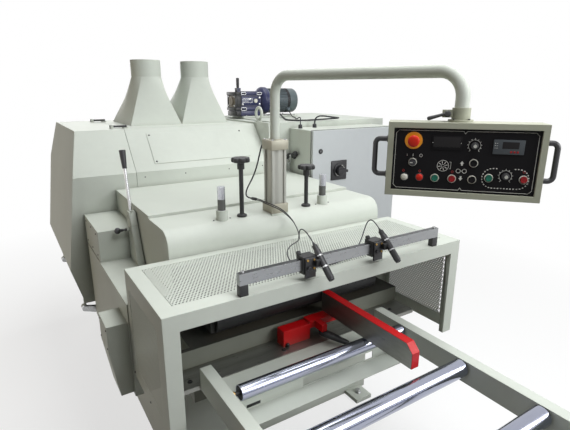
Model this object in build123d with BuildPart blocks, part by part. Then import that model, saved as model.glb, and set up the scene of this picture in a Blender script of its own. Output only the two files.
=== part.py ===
from build123d import *
import math
import os

os.makedirs("parts", exist_ok=True)

# Multi-rip saw. X runs across the machine, Y along the feed, Z up from the floor, all in millimetres.

# Fits and stock shared by many pieces
running_fit = 0.05
side_gap = 0.5
sheet = 4.0
thin_sheet = 3.0

# Heights above the floor
feed_height = 830.0
ledge_height = 1025.0
beam_top = 1311.0
beam_step = 14.0
hood_eaves = 1419.0
hood_top = 1673.0
arbor_frame_top = 1684.0
drive_top = 1690.0
cabinet_top = 1648.0

# Stations along the feed
guard_front = -1550.0
side_front = -1040.0
beam_front = -1035.0
side_rear = -100.0
hood_front = -38.0
hood_ridge = 184.0
hood_rear = 1140.0
arbor_y = 500.0
press_y = -947.0

# Stations across the machine
side_left = -820.0
bed_left = -606.0
bed_right = 633.0
side_right = 665.0
beam_left = -618.0
beam_right = 645.0
hood_half = 482.0
press_x = -8.0

# Base pedestal and its floor anchors
base_width = 1330.0
base_length = 1960.0
base_height = 560.0
base_wall = 12.0
anchor_spacing_x = 1120.0
anchor_pad = 120.0
anchor_pad_height = 25.0
anchor_hole = 22.0

# Side frames, arbor frame and lever bracket
side_wall = 15.0
arbor_frame_gap = 2.0
arbor_frame_width = 88.0
arbor_frame_front = 140.0
arbor_frame_rear = 960.0
bracket_width = 36.0
bracket_x = -640.0
bracket_foot_front = -620.0
bracket_foot_rear = -470.0
bracket_head_front = -515.0
bracket_head_rear = -465.0
bracket_top = 1295.0
lever_slot_width = 20.0
lever_slot_floor = 1236.0
lever_pivot_y = -489.0
lever_pivot_z = 1266.0
lever_pin_radius = 6.0
lever_hub_radius = 20.0
lever_rod_radius = 8.5
lever_lean = 11.5
lever_rod_length = 262.0
lever_grip_length = 92.0
lever_grip_root = 11.5
lever_grip_radius = 17.0
plunger_y = -500.0
plunger_z = 1199.0
plunger_radius = 5.0
plunger_seat = 18.0
plunger_reach = 63.0
ball_radius = 17.0

# Screwed covers
left_box_outer = -816.0
left_box_inner = -620.0
left_box_front = -460.0
left_box_rear = -42.0
left_box_top = 1195.0
side_cover_depth = 91.0
side_cover_front = -1020.0
side_cover_rear = -852.0
side_cover_bottom = 573.0
side_cover_top = 930.0
side_cover_slope = 70.0
side_cover_slope_drop = 120.0
access_panel_width = 703.0
access_panel_height = 241.0
access_panel_up = 173.0

# Bed
bed_front = -1228.0
bed_wall = 25.0
bed_top_thickness = 30.0
blade_slot_length = 260.0
blade_slot_width = 700.0
bed_plate_left = -740.0
bed_plate_depth = 139.0
bed_plate_top = 747.0
bed_plate_thickness = 20.0

# Infeed table
rail_width = 50.0
rail_height = 100.0
rail_wall = 4.0
rail_length = 1047.0
rail_left_inner = -575.0
rail_right_inner = 339.0
rail_drop = 2.0
channel_reach = 270.0
channel_web_reach = 175.0
channel_bottom = 690.0
channel_top = 745.0
channel_window_left = -229.0
channel_window_right = 171.0
channel_window_height = 37.0
leg_width = 50.0
foot_radius = 45.0
foot_height = 20.0
rear_roller_inset = 189.0
rear_roller_diameter = 63.5
middle_roller_diameter = 76.0
front_roller_inset = 170.0
front_roller_diameter = 76.0
roller_side_gap = 8.0
roller_stub_radius = 10.0
roller_stub_length = 28.0

# Infeed guard
guard_left = -815.0
guard_right = 725.0
guard_top = 1192.0
guard_bottom = 680.0
guard_sheet = 3.0
guard_post = 60.0
guard_header = 65.0
guard_fold = 25.0
guard_flange = 88.0
guard_side_border = 58.0
guard_front_border = 74.0
guard_rear_border = 49.0
guard_low_border = 65.0
guard_high_border = 77.0
mesh_sheet = 1.5
mesh_lap = 10.0

# Laser bar and laser units
bar_left = -520.0
bar_right = 555.0
bar_setback = 5.0
bar_depth = 25.0
bar_height = 45.0
bar_block_width = 35.0
bar_block_height = 45.0
laser_left_x = -216.0
laser_right_x = 146.0
laser_body_width = 62.0
laser_wall = 13.0
laser_bar_fit = 0.5
laser_tube_shift = 44.0
laser_tube_ahead = 50.5
laser_tube_rise = 10.5
laser_tube_radius = 11.5
laser_tube_length = 158.0
laser_tilt = 42.0
laser_arm_width = 30.0
laser_arm_height = 26.0

# Fence, its bracket and clamp lever
fence_x = 90.0
fence_thickness = 41.0
fence_height = 103.0
fence_lift = 8.0
fence_front = -1843.0
fence_rear = -1242.0
fence_nose = 34.0
fence_box_left = -183.0
fence_box_right = -31.0
fence_box_front = -1310.0
fence_box_rear = -1252.0
fence_box_height = 80.0
fence_arm_front = -1372.0
fence_arm_height = 36.0
clamp_stud_x = 11.0
clamp_stud_y = -1352.0
clamp_stud_radius = 6.0
clamp_stud_length = 20.0
clamp_hub_radius = 15.0
clamp_hub_height = 20.0
clamp_reach = 140.0
clamp_heading = -64.0
clamp_tip_radius = 9.0
clamp_drop = 14.0

# Beam cover, press frame and upper feed roller
beam_wall = 10.0
beam_round = 80.0
beam_step_y = -742.0
beam_seat = 14.0
beam_front_bottom = 1150.0
post_offset = 306.0
post_radius = 19.0
post_rise = 165.0
collar_radius = 28.0
collar_height = 48.0
press_plate_half = 495.0
press_plate_front = -1226.0
press_plate_rear = -890.0
press_plate_thickness = 22.0
press_arm_width = 20.0
press_arm_depth = 90.0
press_arm_low = 57.0
feed_roller_y = -1160.0
feed_roller_radius = 75.0
feed_roller_lift = 20.0
feed_roller_stub = 20.0
feed_roller_clear = 8.0
rod_radius = 12.5
piston_radius = 32.0
piston_height = 30.0
piston_start = 12.0

# Lift cylinder
cylinder_block = 98.0
cylinder_block_height = 48.0
cylinder_barrel = 83.0
cylinder_height = 373.0
barrel_groove_width = 26.0
barrel_groove_depth = 7.0
pipe_socket_depth = 40.0

# Stop screws
stop_offset = 196.0
stop_radius = 11.0
stop_rise_left = 298.0
stop_rise_right = 228.0
stop_depth = 50.0
stop_flange_radius = 25.0
stop_flange_height = 12.0
stop_seat_gap = 0.3
knob_radius = 47.5
knob_height = 24.0
knob_hub_radius = 18.0
knob_hub_height = 34.0

# Hood and dust chutes
throat_height = 170.0
blade_door_half = 220.0
blade_door_top = 1250.0
arbor_hole_radius = 60.0
chute_spacing = 380.0
chute_width = 375.0
chute_front = 430.0
chute_rear = 1000.0
chute_spigot_y = 610.0
chute_spigot_radius = 107.5
chute_cone_top = 2014.0
chute_top = 2132.0
keeper_length = 30.0
keeper_width = 40.0
keeper_height = 7.0
keeper_inset = 10.0

# Left end cover, its hinges and toggle latches
cover_gap = 2.0
cover_top_x = -783.0
cover_eaves_x = -853.0
cover_belly_x = -930.0
cover_belly_z = 849.0
cover_foot_x = -869.0
cover_foot_z = 617.0
cover_low_inner = -622.0
cover_low_top = 835.0
hinge_x = -878.0
hinge_z = 590.0
hinge_front_y = -50.0
hinge_rear_y = 940.0
hinge_arm_width = 24.0
hinge_arm_depth = 64.0
hinge_barrel_radius = 17.0
hinge_pin_radius = 8.0
knuckle_length = 26.0
knuckle_tab = 12.0
knuckle_tab_height = 52.0
latch_front_y = 263.0
latch_rear_y = 966.0
latch_pivot_x = -545.0
latch_pivot_rise = 15.0
latch_pin_radius = 4.0
latch_ear_width = 6.0
latch_ear_radius = 9.0
latch_width = 28.0
latch_reach = 96.0
latch_thickness = 13.0
latch_clear = 1.0

# Arbor, saw blades and main motor
blade_diameter = 355.0
blade_below_feed = 8.0
blade_thickness = 3.2
blade_pitch = 120.0
blade_count = 5
blade_teeth = 24
tooth_depth = 12.0
sleeve_radius = 35.0
sleeve_half = 478.0
arbor_radius = 30.0
arbor_left = -596.0
pillow_left = -572.0
pillow_width = 72.0
pillow_half = 90.0
pillow_rise = 90.0
bearing_ring_radius = 80.0
coupling_left = 640.0
coupling_length = 120.0
coupling_radius = 75.0
motor_shaft_radius = 24.0
motor_shaft_seat = 60.0
motor_left = 800.0
motor_length = 650.0
motor_radius = 200.0
motor_foot_half = 230.0
motor_foot_height = 40.0

# Drive housing and feed gearmotor
drive_left = 575.0
drive_right = 1617.0
drive_rear = 1000.0
gear_y = 640.0
gear_axis_z = 1830.0
gear_plinth_height = 16.0
gear_plinth_half = 105.0
gear_plinth_right = 1118.0
gear_left = 530.0
gear_length = 230.0
gear_half_depth = 78.0
gear_top = 1900.0
gear_neck_radius = 70.0
gear_disc_left = 805.0
gear_disc_width = 30.0
gear_disc_radius = 115.0
feed_motor_length = 300.0
feed_motor_radius = 105.0
feed_motor_cap = 24.0
speed_lever_x = 581.0
speed_pivot_rise = 22.0
speed_pin_radius = 6.0
speed_hub_radius = 16.0
speed_hub_width = 30.0
speed_ear_width = 8.0
speed_rod_radius = 9.0
speed_handle_length = 96.0
speed_handle_radius = 13.0

# Lifting eye bolt
eye_x = 527.0
eye_y = 181.0
eye_collar_radius = 26.0
eye_collar_height = 12.0
eye_ring_radius = 44.0
eye_bar_radius = 10.5
eye_neck_radius = 14.0
eye_ring_rise = 64.0

# Electrical cabinet
cabinet_left = 667.0
cabinet_right = 1484.0
cabinet_front = -340.0
cabinet_bottom = 150.0
cabinet_plinth_inset = 30.0
cabinet_sheet = 3.0
door_depth = 20.0
door_gap = 2.0
door_hinge_out = 9.0
door_hinge_in = 11.0
door_barrel_radius = 8.0
door_pin_radius = 4.0
door_knuckle = 30.0
door_hinge_low = 320.0
door_hinge_high = 1440.0
door_tab = 8.0
switch_x = 904.0
switch_z = 1353.0
switch_shaft_radius = 7.0
switch_hub_radius = 31.0
switch_hub_depth = 22.0
switch_grip_length = 84.0
switch_grip_width = 18.0
switch_grip_depth = 26.0
switch_standoff = 12.0

# Pendant pipe and pendant box
pipe_radius = 24.15
pipe_wall = 3.2
pipe_bend = 90.0
pipe_top = 1992.0
pipe_reach = 952.0
pipe_heading = -78.1
pipe_end = 1832.0
pendant_heading = -47.5
pendant_width = 512.0
pendant_height = 260.0
pendant_depth = 120.0
pendant_shift = 15.0
pendant_front = 65.0
pendant_top = 1820.0
pendant_sheet = 3.0
bezel_width = 20.0
bezel_depth = 10.0
panel_sheet = 3.0
panel_lap = 6.0
flange_radius = 42.0
flange_height = 8.0
pipe_collar_radius = 31.0
pipe_collar_height = 40.0
ear_reach = 62.0
ear_half = 14.0
ear_height = 26.0
ear_stud_x = -47.0
lever_stud_radius = 5.0
lever_boss_radius = 11.0
lever_boss_length = 26.0
lever_arm_reach = 76.0
lever_arm_drop = 14.0
lever_arm_radius = 7.0
handle_span = 130.0
handle_standoff = 46.0
handle_radius = 9.0
handle_bend = 18.0

# Pendant controls, each placed by its distance right of the pipe axis and its height
stop_button_at = (-153.0, 1757.0)
selector_at = (-151.0, 1681.0)
spindle_knob_at = (48.0, 1745.0)
feed_knob_at = (156.0, 1645.0)
raise_button_at = (51.0, 1685.0)
lower_button_at = (51.0, 1628.0)
start_button_at = (-72.0, 1628.0)
halt_button_at = (-15.0, 1628.0)
feed_start_button_at = (104.0, 1636.0)
feed_halt_button_at = (213.0, 1636.0)
button_cap_radius = 10.5
button_cap_height = 7.0
button_standoff = 4.0
button_stem_radius = 8.0
button_stem_length = 22.0
stop_cap_radius = 20.0
stop_cap_height = 14.0
stop_neck_radius = 13.0
stop_neck_height = 14.0
stop_standoff = 8.0
selector_radius = 12.0
selector_height = 6.0
selector_grip_width = 6.0
selector_grip_height = 9.0
dial_radius = 12.0
dial_height = 16.0
dial_standoff = 3.0

# Cords, with the share of a run that an arc may take
arc_share = 0.45
lead_radius = 2.5
cable_radius = 4.0
motor_cable_radius = 6.0
connector_radius = 8.0
connector_length = 34.0
lead_spread = 3.2
lead_in = 27.0
gland_radius = 13.0
gland_height = 24.0
terminal_reach = 127.0
terminal_radius = 15.0
terminal_tilt = 45.0
power_terminal_x = 930.0
control_terminal_x = 1040.0
power_gland = (852.0, -100.0)
control_gland = (715.0, -110.0)

# Sizes worked out from the driving dimensions
arbor_z = feed_height - blade_below_feed + blade_diameter / 2
bar_front = guard_front + bar_setback
bar_bottom = guard_top + bar_block_height
bar_mid_y = bar_front + bar_depth / 2
bar_mid_z = bar_bottom + bar_height / 2
rail_top = feed_height - rail_drop
rail_rear = bed_front - bed_plate_depth
rail_front = rail_rear - rail_length
channel_front = rail_rear - channel_reach
channel_web = rail_rear - channel_web_reach
rear_roller_y = rail_rear - rear_roller_inset
front_roller_y = rail_front + front_roller_inset
middle_roller_y = (rear_roller_y + front_roller_y) / 2
cylinder_top = beam_top + cylinder_height
pipe_foot = cylinder_top - pipe_socket_depth
pipe_axis = (
    press_x + pipe_reach * math.cos(math.radians(pipe_heading)),
    press_y + pipe_reach * math.sin(math.radians(pipe_heading)),
)
pendant_plane = Plane(
    origin=(pipe_axis[0], pipe_axis[1], 0),
    x_dir=(math.cos(math.radians(pendant_heading)), math.sin(math.radians(pendant_heading)), 0),
    z_dir=(0, 0, 1),
)
panel_face = -pendant_front + bezel_depth
pendant_left = pendant_shift - pendant_width / 2
pendant_right = pendant_shift + pendant_width / 2
pendant_bottom = pendant_top - pendant_height
collar_bottom = pendant_top + flange_height
drive_front = hood_front
cabinet_rear = drive_front
hinge_axis_x = cabinet_right + door_hinge_out
hinge_axis_y = cabinet_front + door_hinge_in
fence_bottom = feed_height + fence_lift
slope_run = hood_ridge - hood_front
slope_rise = hood_top - hood_eaves
slope_length = math.hypot(slope_run, slope_rise)
STAND = (Align.CENTER, Align.CENTER, Align.MIN)
CORNER = (Align.MIN, Align.MIN, Align.MIN)


def save(piece, name):
    """Label a finished piece and write it."""
    piece.part.label = name
    export_step(piece.part, f"parts/{name}.step")


def span(x0, x1, y0, y1, z0, z1, mode=Mode.ADD):
    """Box between two corners."""
    with Locations((x0, y0, z0)):
        Box(x1 - x0, y1 - y0, z1 - z0, align=CORNER, mode=mode)


def rod(start, end, radius, mode=Mode.ADD, end_radius=None):
    """Round bar, or cone, between two points."""
    along = Vector(end) - Vector(start)
    with Locations(Plane(origin=start, z_dir=along).location):
        if end_radius is None:
            Cylinder(radius, along.length, align=STAND, mode=mode)
        else:
            Cone(radius, end_radius, along.length, align=STAND, mode=mode)


def plate_outline(points):
    """Closed face through corner points."""
    Polygon(*points, align=None)


def chamber_outline(bottom):
    """Side outline shared by the hood and the end cover, in Y and Z."""
    plate_outline(
        [
            (hood_front, bottom),
            (hood_front, hood_eaves),
            (hood_ridge, hood_top),
            (hood_rear, hood_top),
            (hood_rear, bottom),
        ]
    )


# Base pedestal with four anchor pads
with BuildPart() as base_pedestal:
    Box(base_width, base_length, base_height, align=STAND)
    Box(
        base_width - 2 * base_wall,
        base_length - 2 * base_wall,
        base_height - base_wall,
        align=STAND,
        mode=Mode.SUBTRACT,
    )
    with GridLocations(anchor_spacing_x, base_length + anchor_pad, 2, 2):
        Box(anchor_pad, anchor_pad, anchor_pad_height, align=STAND)
    with Locations((0, 0, anchor_pad_height)):
        with GridLocations(anchor_spacing_x, base_length + anchor_pad, 2, 2):
            Hole(anchor_hole / 2, anchor_pad_height)
save(base_pedestal, "base_pedestal")

# Side frames, arbor frame and lever bracket: separate castings
bracket_left = bracket_x - bracket_width / 2
with BuildPart() as side_frames:
    span(side_left, bed_left, side_front, side_rear, base_height, ledge_height)
    span(
        side_left + side_wall,
        bed_left - side_wall,
        side_front + side_wall,
        side_rear - side_wall,
        base_height,
        ledge_height - side_wall,
        Mode.SUBTRACT,
    )
    span(bed_right, side_right, side_front, side_rear, base_height, ledge_height)
    arbor_frame_left = hood_half + arbor_frame_gap
    span(
        arbor_frame_left,
        arbor_frame_left + arbor_frame_width,
        arbor_frame_front,
        arbor_frame_rear,
        feed_height,
        arbor_frame_top,
    )
    rod(
        (arbor_frame_left, arbor_y, arbor_z),
        (arbor_frame_left + arbor_frame_width, arbor_y, arbor_z),
        bearing_ring_radius,
        Mode.SUBTRACT,
    )
with BuildPart() as lever_bracket:
    with BuildSketch(Plane.YZ.offset(bracket_left)):
        plate_outline(
            [
                (bracket_foot_front, ledge_height),
                (bracket_foot_rear, ledge_height),
                (bracket_head_rear, bracket_top),
                (bracket_head_front, bracket_top),
            ]
        )
    extrude(amount=bracket_width)
    span(
        bracket_x - lever_slot_width / 2,
        bracket_x + lever_slot_width / 2,
        bracket_foot_front,
        bracket_foot_rear + bracket_width,
        lever_slot_floor,
        bracket_top,
        Mode.SUBTRACT,
    )
    rod(
        (bracket_left, lever_pivot_y, lever_pivot_z),
        (bracket_left + bracket_width, lever_pivot_y, lever_pivot_z),
        lever_pin_radius + running_fit,
        Mode.SUBTRACT,
    )
    rod(
        (bracket_left, plunger_y, plunger_z),
        (bracket_left + plunger_seat + side_gap, plunger_y, plunger_z),
        plunger_radius + running_fit,
        Mode.SUBTRACT,
    )
frames = Compound(children=[*side_frames.part.solids(), *lever_bracket.part.solids()])
frames.label = "side_frames"
export_step(frames, "parts/side_frames.step")

# Height lever with its hub, trunnions and grip
lean = math.radians(lever_lean)
lever_direction = Vector(0, math.sin(lean), math.cos(lean))
lever_pivot = Vector(bracket_x, lever_pivot_y, lever_pivot_z)
grip_start = lever_pivot + lever_direction * lever_rod_length
grip_end = grip_start + lever_direction * lever_grip_length
with BuildPart() as height_lever:
    hub_half = lever_slot_width / 2 - side_gap
    rod(lever_pivot - Vector(hub_half, 0, 0), lever_pivot + Vector(hub_half, 0, 0), lever_hub_radius)
    rod(
        lever_pivot - Vector(bracket_width / 2, 0, 0),
        lever_pivot + Vector(bracket_width / 2, 0, 0),
        lever_pin_radius,
    )
    rod(lever_pivot, grip_start, lever_rod_radius)
    rod(grip_start, grip_end, lever_grip_root, end_radius=lever_grip_radius)
save(height_lever, "height_lever")

# Locking plunger with ball knob, turned about the plunger's axis
ball_centre = (bracket_left - plunger_reach, plunger_y, plunger_z)
plunger_length = plunger_reach + plunger_seat
ball_root = (math.sqrt(ball_radius**2 - plunger_radius**2), plunger_radius)
with BuildPart() as lock_knob:
    with BuildSketch(Plane(origin=ball_centre, z_dir=(0, 0, 1))):
        with BuildLine():
            ThreePointArc((-ball_radius, 0), (0, ball_radius), ball_root)
            Polyline(ball_root, (plunger_length, plunger_radius), (plunger_length, 0), (-ball_radius, 0))
        make_face()
    revolve(axis=Axis(ball_centre, (1, 0, 0)))
save(lock_knob, "lock_knob")

# Left box on the ledge, small tapered side cover and hood access panel
with BuildPart() as left_box:
    span(left_box_outer, left_box_inner, left_box_front, left_box_rear, ledge_height, left_box_top)
    span(
        left_box_outer + thin_sheet,
        left_box_inner - thin_sheet,
        left_box_front + thin_sheet,
        left_box_rear - thin_sheet,
        ledge_height,
        left_box_top - thin_sheet,
        Mode.SUBTRACT,
    )
with BuildPart() as side_cover:
    cover_face = side_left - side_cover_depth
    with BuildSketch(Plane.XZ.offset(-side_cover_rear)):
        plate_outline(
            [
                (side_left, side_cover_bottom),
                (side_left, side_cover_top),
                (cover_face + side_cover_slope, side_cover_top),
                (cover_face, side_cover_top - side_cover_slope_drop),
                (cover_face, side_cover_bottom + side_cover_slope_drop),
                (cover_face + side_cover_slope, side_cover_bottom),
            ]
        )
    extrude(amount=side_cover_rear - side_cover_front)
slope_normal = (0, -slope_rise / slope_length, slope_run / slope_length)
slope_plane = Plane(
    origin=(
        0,
        hood_front + slope_run * access_panel_up / slope_length,
        hood_eaves + slope_rise * access_panel_up / slope_length,
    ),
    x_dir=(1, 0, 0),
    z_dir=slope_normal,
)
with BuildPart() as access_panel:
    with BuildSketch(slope_plane):
        Rectangle(access_panel_width, access_panel_height)
    extrude(amount=thin_sheet)
covers = Compound(
    children=[*left_box.part.solids(), *side_cover.part.solids(), *access_panel.part.solids()]
)
covers.label = "screwed_covers"
export_step(covers, "parts/screwed_covers.step")

# Bed table, hollow below, with its front bar along the bed plate and the slot for the saw blades
with BuildPart() as bed_table:
    span(bed_left, bed_right, bed_front, hood_rear, base_height, feed_height)
    span(
        bed_plate_left,
        bed_left,
        bed_front,
        bed_front + bed_wall,
        bed_plate_top - bed_plate_thickness,
        feed_height,
    )
    span(
        bed_left + bed_wall,
        bed_right - bed_wall,
        bed_front + bed_wall,
        hood_rear - bed_wall,
        base_height,
        feed_height - bed_top_thickness,
        Mode.SUBTRACT,
    )
    span(
        -blade_slot_width / 2,
        blade_slot_width / 2,
        arbor_y - blade_slot_length / 2,
        arbor_y + blade_slot_length / 2,
        feed_height - bed_top_thickness,
        feed_height,
        Mode.SUBTRACT,
    )
save(bed_table, "bed_table")

# Bed plate in front of the bed bar
with BuildPart() as bed_plate:
    span(
        bed_plate_left,
        bed_right,
        rail_rear,
        bed_front,
        bed_plate_top - bed_plate_thickness,
        bed_plate_top,
    )
save(bed_plate, "bed_plate")

# Infeed rollers: place along the feed and diameter
rollers = {
    "infeed_roller_rear": (rear_roller_y, rear_roller_diameter),
    "infeed_roller_middle": (middle_roller_y, middle_roller_diameter),
    "infeed_roller_front": (front_roller_y, front_roller_diameter),
}


def infeed_rail(inner, outer):
    """Hollow rail with a bearing hole for each roller stub."""
    left = min(inner, outer)
    right = max(inner, outer)
    with BuildPart() as rail:
        span(left, right, rail_front, rail_rear, rail_top - rail_height, rail_top)
        span(
            left + rail_wall,
            right - rail_wall,
            rail_front,
            rail_rear,
            rail_top - rail_height + rail_wall,
            rail_top - rail_wall,
            Mode.SUBTRACT,
        )
        for roller_y, roller_diameter in rollers.values():
            roller_z = feed_height - roller_diameter / 2
            rod(
                (inner, roller_y, roller_z),
                ((inner + outer) / 2, roller_y, roller_z),
                roller_stub_radius + running_fit,
                Mode.SUBTRACT,
            )
    return rail.part


def infeed_leg(inner, outer):
    """Leg under the front end of a rail, with a round foot."""
    middle = (inner + outer) / 2
    with BuildPart() as leg:
        with Locations((middle, rail_front + leg_width / 2, 0)):
            Cylinder(foot_radius, foot_height, align=STAND)
            Box(leg_width, leg_width, rail_top - rail_height, align=STAND)
    return leg.part


rail_left_outer = rail_left_inner - rail_width
rail_right_outer = rail_right_inner + rail_width
with BuildPart() as cross_channel:
    with BuildSketch(Plane.YZ.offset(rail_left_inner)):
        plate_outline(
            [
                (channel_front, channel_bottom),
                (channel_web + rail_wall, channel_bottom),
                (channel_web + rail_wall, channel_top - rail_wall),
                (rail_rear, channel_top - rail_wall),
                (rail_rear, channel_top),
                (channel_web, channel_top),
                (channel_web, channel_bottom + rail_wall),
                (channel_front, channel_bottom + rail_wall),
            ]
        )
    extrude(amount=rail_right_inner - rail_left_inner)
    window_bottom = channel_bottom + 2 * rail_wall
    span(
        channel_window_left,
        channel_window_right,
        channel_web,
        channel_web + rail_wall,
        window_bottom,
        window_bottom + channel_window_height,
        Mode.SUBTRACT,
    )
with BuildPart() as front_tie:
    span(
        rail_left_inner,
        rail_right_inner,
        rail_front,
        rail_front + leg_width,
        rail_top - rail_height,
        rail_top - rail_height + leg_width,
    )
infeed_pieces = [
    infeed_rail(rail_left_inner, rail_left_outer),
    infeed_rail(rail_right_inner, rail_right_outer),
    infeed_leg(rail_left_inner, rail_left_outer),
    infeed_leg(rail_right_inner, rail_right_outer),
    cross_channel.part,
    front_tie.part,
]
infeed_frame = Compound(children=[solid for piece in infeed_pieces for solid in piece.solids()])
infeed_frame.label = "infeed_frame"
export_step(infeed_frame, "parts/infeed_frame.step")

for roller_name, (roller_y, roller_diameter) in rollers.items():
    roller_z = feed_height - roller_diameter / 2
    tube_left = rail_left_inner + roller_side_gap
    tube_right = rail_right_inner - roller_side_gap
    with BuildPart() as infeed_roller:
        rod((tube_left, roller_y, roller_z), (tube_right, roller_y, roller_z), roller_diameter / 2)
        rod(
            (tube_left - roller_stub_length, roller_y, roller_z),
            (tube_right + roller_stub_length, roller_y, roller_z),
            roller_stub_radius,
        )
    save(infeed_roller, roller_name)

# Infeed guard: folded frame with three perforated sheets welded behind its windows
with BuildPart() as guard_frame:
    span(guard_left, guard_right, guard_front, side_front, guard_bottom, guard_top)
    span(
        guard_left + guard_sheet,
        guard_right - guard_sheet,
        guard_front,
        side_front,
        guard_bottom,
        guard_top - guard_sheet,
        Mode.SUBTRACT,
    )
    post_rear = guard_front + guard_fold
    span(guard_left, guard_left + guard_post, guard_front, post_rear, guard_bottom, guard_top)
    span(guard_right - guard_post, guard_right, guard_front, post_rear, guard_bottom, guard_top)
    span(guard_left, guard_right, guard_front, post_rear, guard_top - guard_header, guard_top)
    flange_front = side_front - guard_sheet
    span(guard_left, guard_left + guard_flange, flange_front, side_front, guard_bottom, guard_top)
    span(guard_right - guard_flange, guard_right, flange_front, side_front, guard_bottom, guard_top)
    window_front = guard_front + guard_front_border
    window_rear = side_front - guard_rear_border
    span(
        guard_left + guard_side_border,
        guard_right - guard_side_border,
        window_front,
        window_rear,
        guard_top - guard_sheet,
        guard_top,
        Mode.SUBTRACT,
    )
    low = guard_bottom + guard_low_border
    high = guard_top - guard_high_border
    span(guard_left, guard_left + guard_sheet, window_front, window_rear, low, high, Mode.SUBTRACT)
    span(guard_right - guard_sheet, guard_right, window_front, window_rear, low, high, Mode.SUBTRACT)
with BuildPart() as guard_mesh:
    mesh_front = window_front - mesh_lap
    mesh_rear = window_rear + mesh_lap
    span(
        guard_left + guard_side_border - mesh_lap,
        guard_right - guard_side_border + mesh_lap,
        mesh_front,
        mesh_rear,
        guard_top - guard_sheet - mesh_sheet,
        guard_top - guard_sheet,
    )
    left_skin = guard_left + guard_sheet
    right_skin = guard_right - guard_sheet
    span(left_skin, left_skin + mesh_sheet, mesh_front, mesh_rear, low - mesh_lap, high + mesh_lap)
    span(right_skin - mesh_sheet, right_skin, mesh_front, mesh_rear, low - mesh_lap, high + mesh_lap)
infeed_guard = Compound(children=[*guard_frame.part.solids(), *guard_mesh.part.solids()])
infeed_guard.label = "infeed_guard"
export_step(infeed_guard, "parts/infeed_guard.step")

# Laser bar on two blocks
with BuildPart() as bar_blocks:
    for block_left in (bar_left, bar_right - bar_block_width):
        span(
            block_left,
            block_left + bar_block_width,
            bar_front,
            bar_front + bar_depth,
            guard_top,
            bar_bottom,
        )
with BuildPart() as bar_profile:
    span(bar_left, bar_right, bar_front, bar_front + bar_depth, bar_bottom, bar_bottom + bar_height)
laser_bar = Compound(children=[*bar_profile.part.solids(), *bar_blocks.part.solids()])
laser_bar.label = "laser_bar"
export_step(laser_bar, "parts/laser_bar.step")

# Laser units: a clamp round the bar and a tilted tube in front of it
laser_tilt_angle = math.radians(laser_tilt)
laser_direction = Vector(0, -math.cos(laser_tilt_angle), -math.sin(laser_tilt_angle))


def laser_centre(laser_x):
    """Middle of a laser tube."""
    return Vector(
        laser_x + laser_tube_shift,
        bar_mid_y - laser_tube_ahead,
        bar_mid_z + laser_tube_rise,
    )


def laser_unit(laser_x):
    """One laser unit at a place along the bar."""
    half = laser_body_width / 2
    centre = laser_centre(laser_x)
    tail = centre - laser_direction * (laser_tube_length / 2)
    nose = centre + laser_direction * (laser_tube_length / 2)
    clamp_front = bar_front - laser_wall
    clamp_low = bar_bottom - laser_wall
    clamp_high = bar_bottom + bar_height + laser_wall
    with BuildPart() as unit:
        span(
            laser_x - half,
            laser_x + half,
            clamp_front,
            bar_front + bar_depth + laser_wall,
            clamp_low,
            clamp_high,
        )
        span(
            laser_x - half,
            laser_x + half,
            bar_front - laser_bar_fit,
            bar_front + bar_depth + laser_bar_fit,
            bar_bottom - laser_bar_fit,
            bar_bottom + bar_height + laser_bar_fit,
            Mode.SUBTRACT,
        )
        span(
            centre.X - laser_arm_width,
            centre.X,
            centre.Y,
            clamp_front,
            centre.Z - laser_arm_height / 2,
            centre.Z + laser_arm_height / 2,
        )
        rod(tail, nose, laser_tube_radius)
    return unit


laser_left = laser_unit(laser_left_x)
save(laser_left, "laser_left")
laser_right = laser_unit(laser_right_x)
save(laser_right, "laser_right")

# Fence plate with chamfered nose
with BuildPart() as fence:
    span(
        fence_x,
        fence_x + fence_thickness,
        fence_front,
        fence_rear,
        fence_bottom,
        fence_bottom + fence_height,
    )
    nose_edge = fence.edges().filter_by(Axis.X).group_by(Axis.Z)[-1].sort_by(Axis.Y)[0]
    chamfer(nose_edge, fence_nose)
save(fence, "fence")

# Fence bracket: box that slides on the bed plate and an arm under the fence
arm_bottom = fence_bottom - fence_arm_height
with BuildPart() as fence_bracket:
    span(
        fence_box_left,
        fence_box_right,
        fence_box_front,
        fence_box_rear,
        bed_plate_top,
        bed_plate_top + fence_box_height,
    )
    span(
        fence_box_right,
        fence_x + fence_thickness,
        fence_box_front,
        fence_box_rear,
        arm_bottom,
        fence_bottom,
    )
    span(
        clamp_stud_x - clamp_hub_radius,
        clamp_stud_x + clamp_hub_radius,
        fence_arm_front,
        fence_box_front,
        arm_bottom,
        fence_bottom,
    )
    rod(
        (clamp_stud_x, clamp_stud_y, arm_bottom),
        (clamp_stud_x, clamp_stud_y, arm_bottom + clamp_stud_length + side_gap),
        clamp_stud_radius + running_fit,
        Mode.SUBTRACT,
    )
save(fence_bracket, "fence_bracket")

# Fence clamp lever, turning under the bracket arm
clamp_angle = math.radians(clamp_heading)
hub_top = arm_bottom - side_gap
clamp_root = (clamp_stud_x, clamp_stud_y, hub_top - clamp_hub_height / 2)
clamp_tip = (
    clamp_stud_x + clamp_reach * math.cos(clamp_angle),
    clamp_stud_y + clamp_reach * math.sin(clamp_angle),
    hub_top - clamp_hub_height / 2 - clamp_drop / 2,
)
with BuildPart() as fence_lever:
    rod(
        (clamp_stud_x, clamp_stud_y, hub_top - clamp_hub_height),
        (clamp_stud_x, clamp_stud_y, hub_top),
        clamp_hub_radius,
    )
    rod(
        (clamp_stud_x, clamp_stud_y, hub_top),
        (clamp_stud_x, clamp_stud_y, arm_bottom + clamp_stud_length),
        clamp_stud_radius,
    )
    rod(clamp_root, clamp_tip, clamp_stud_radius, end_radius=clamp_tip_radius)
save(fence_lever, "fence_lever")

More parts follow.
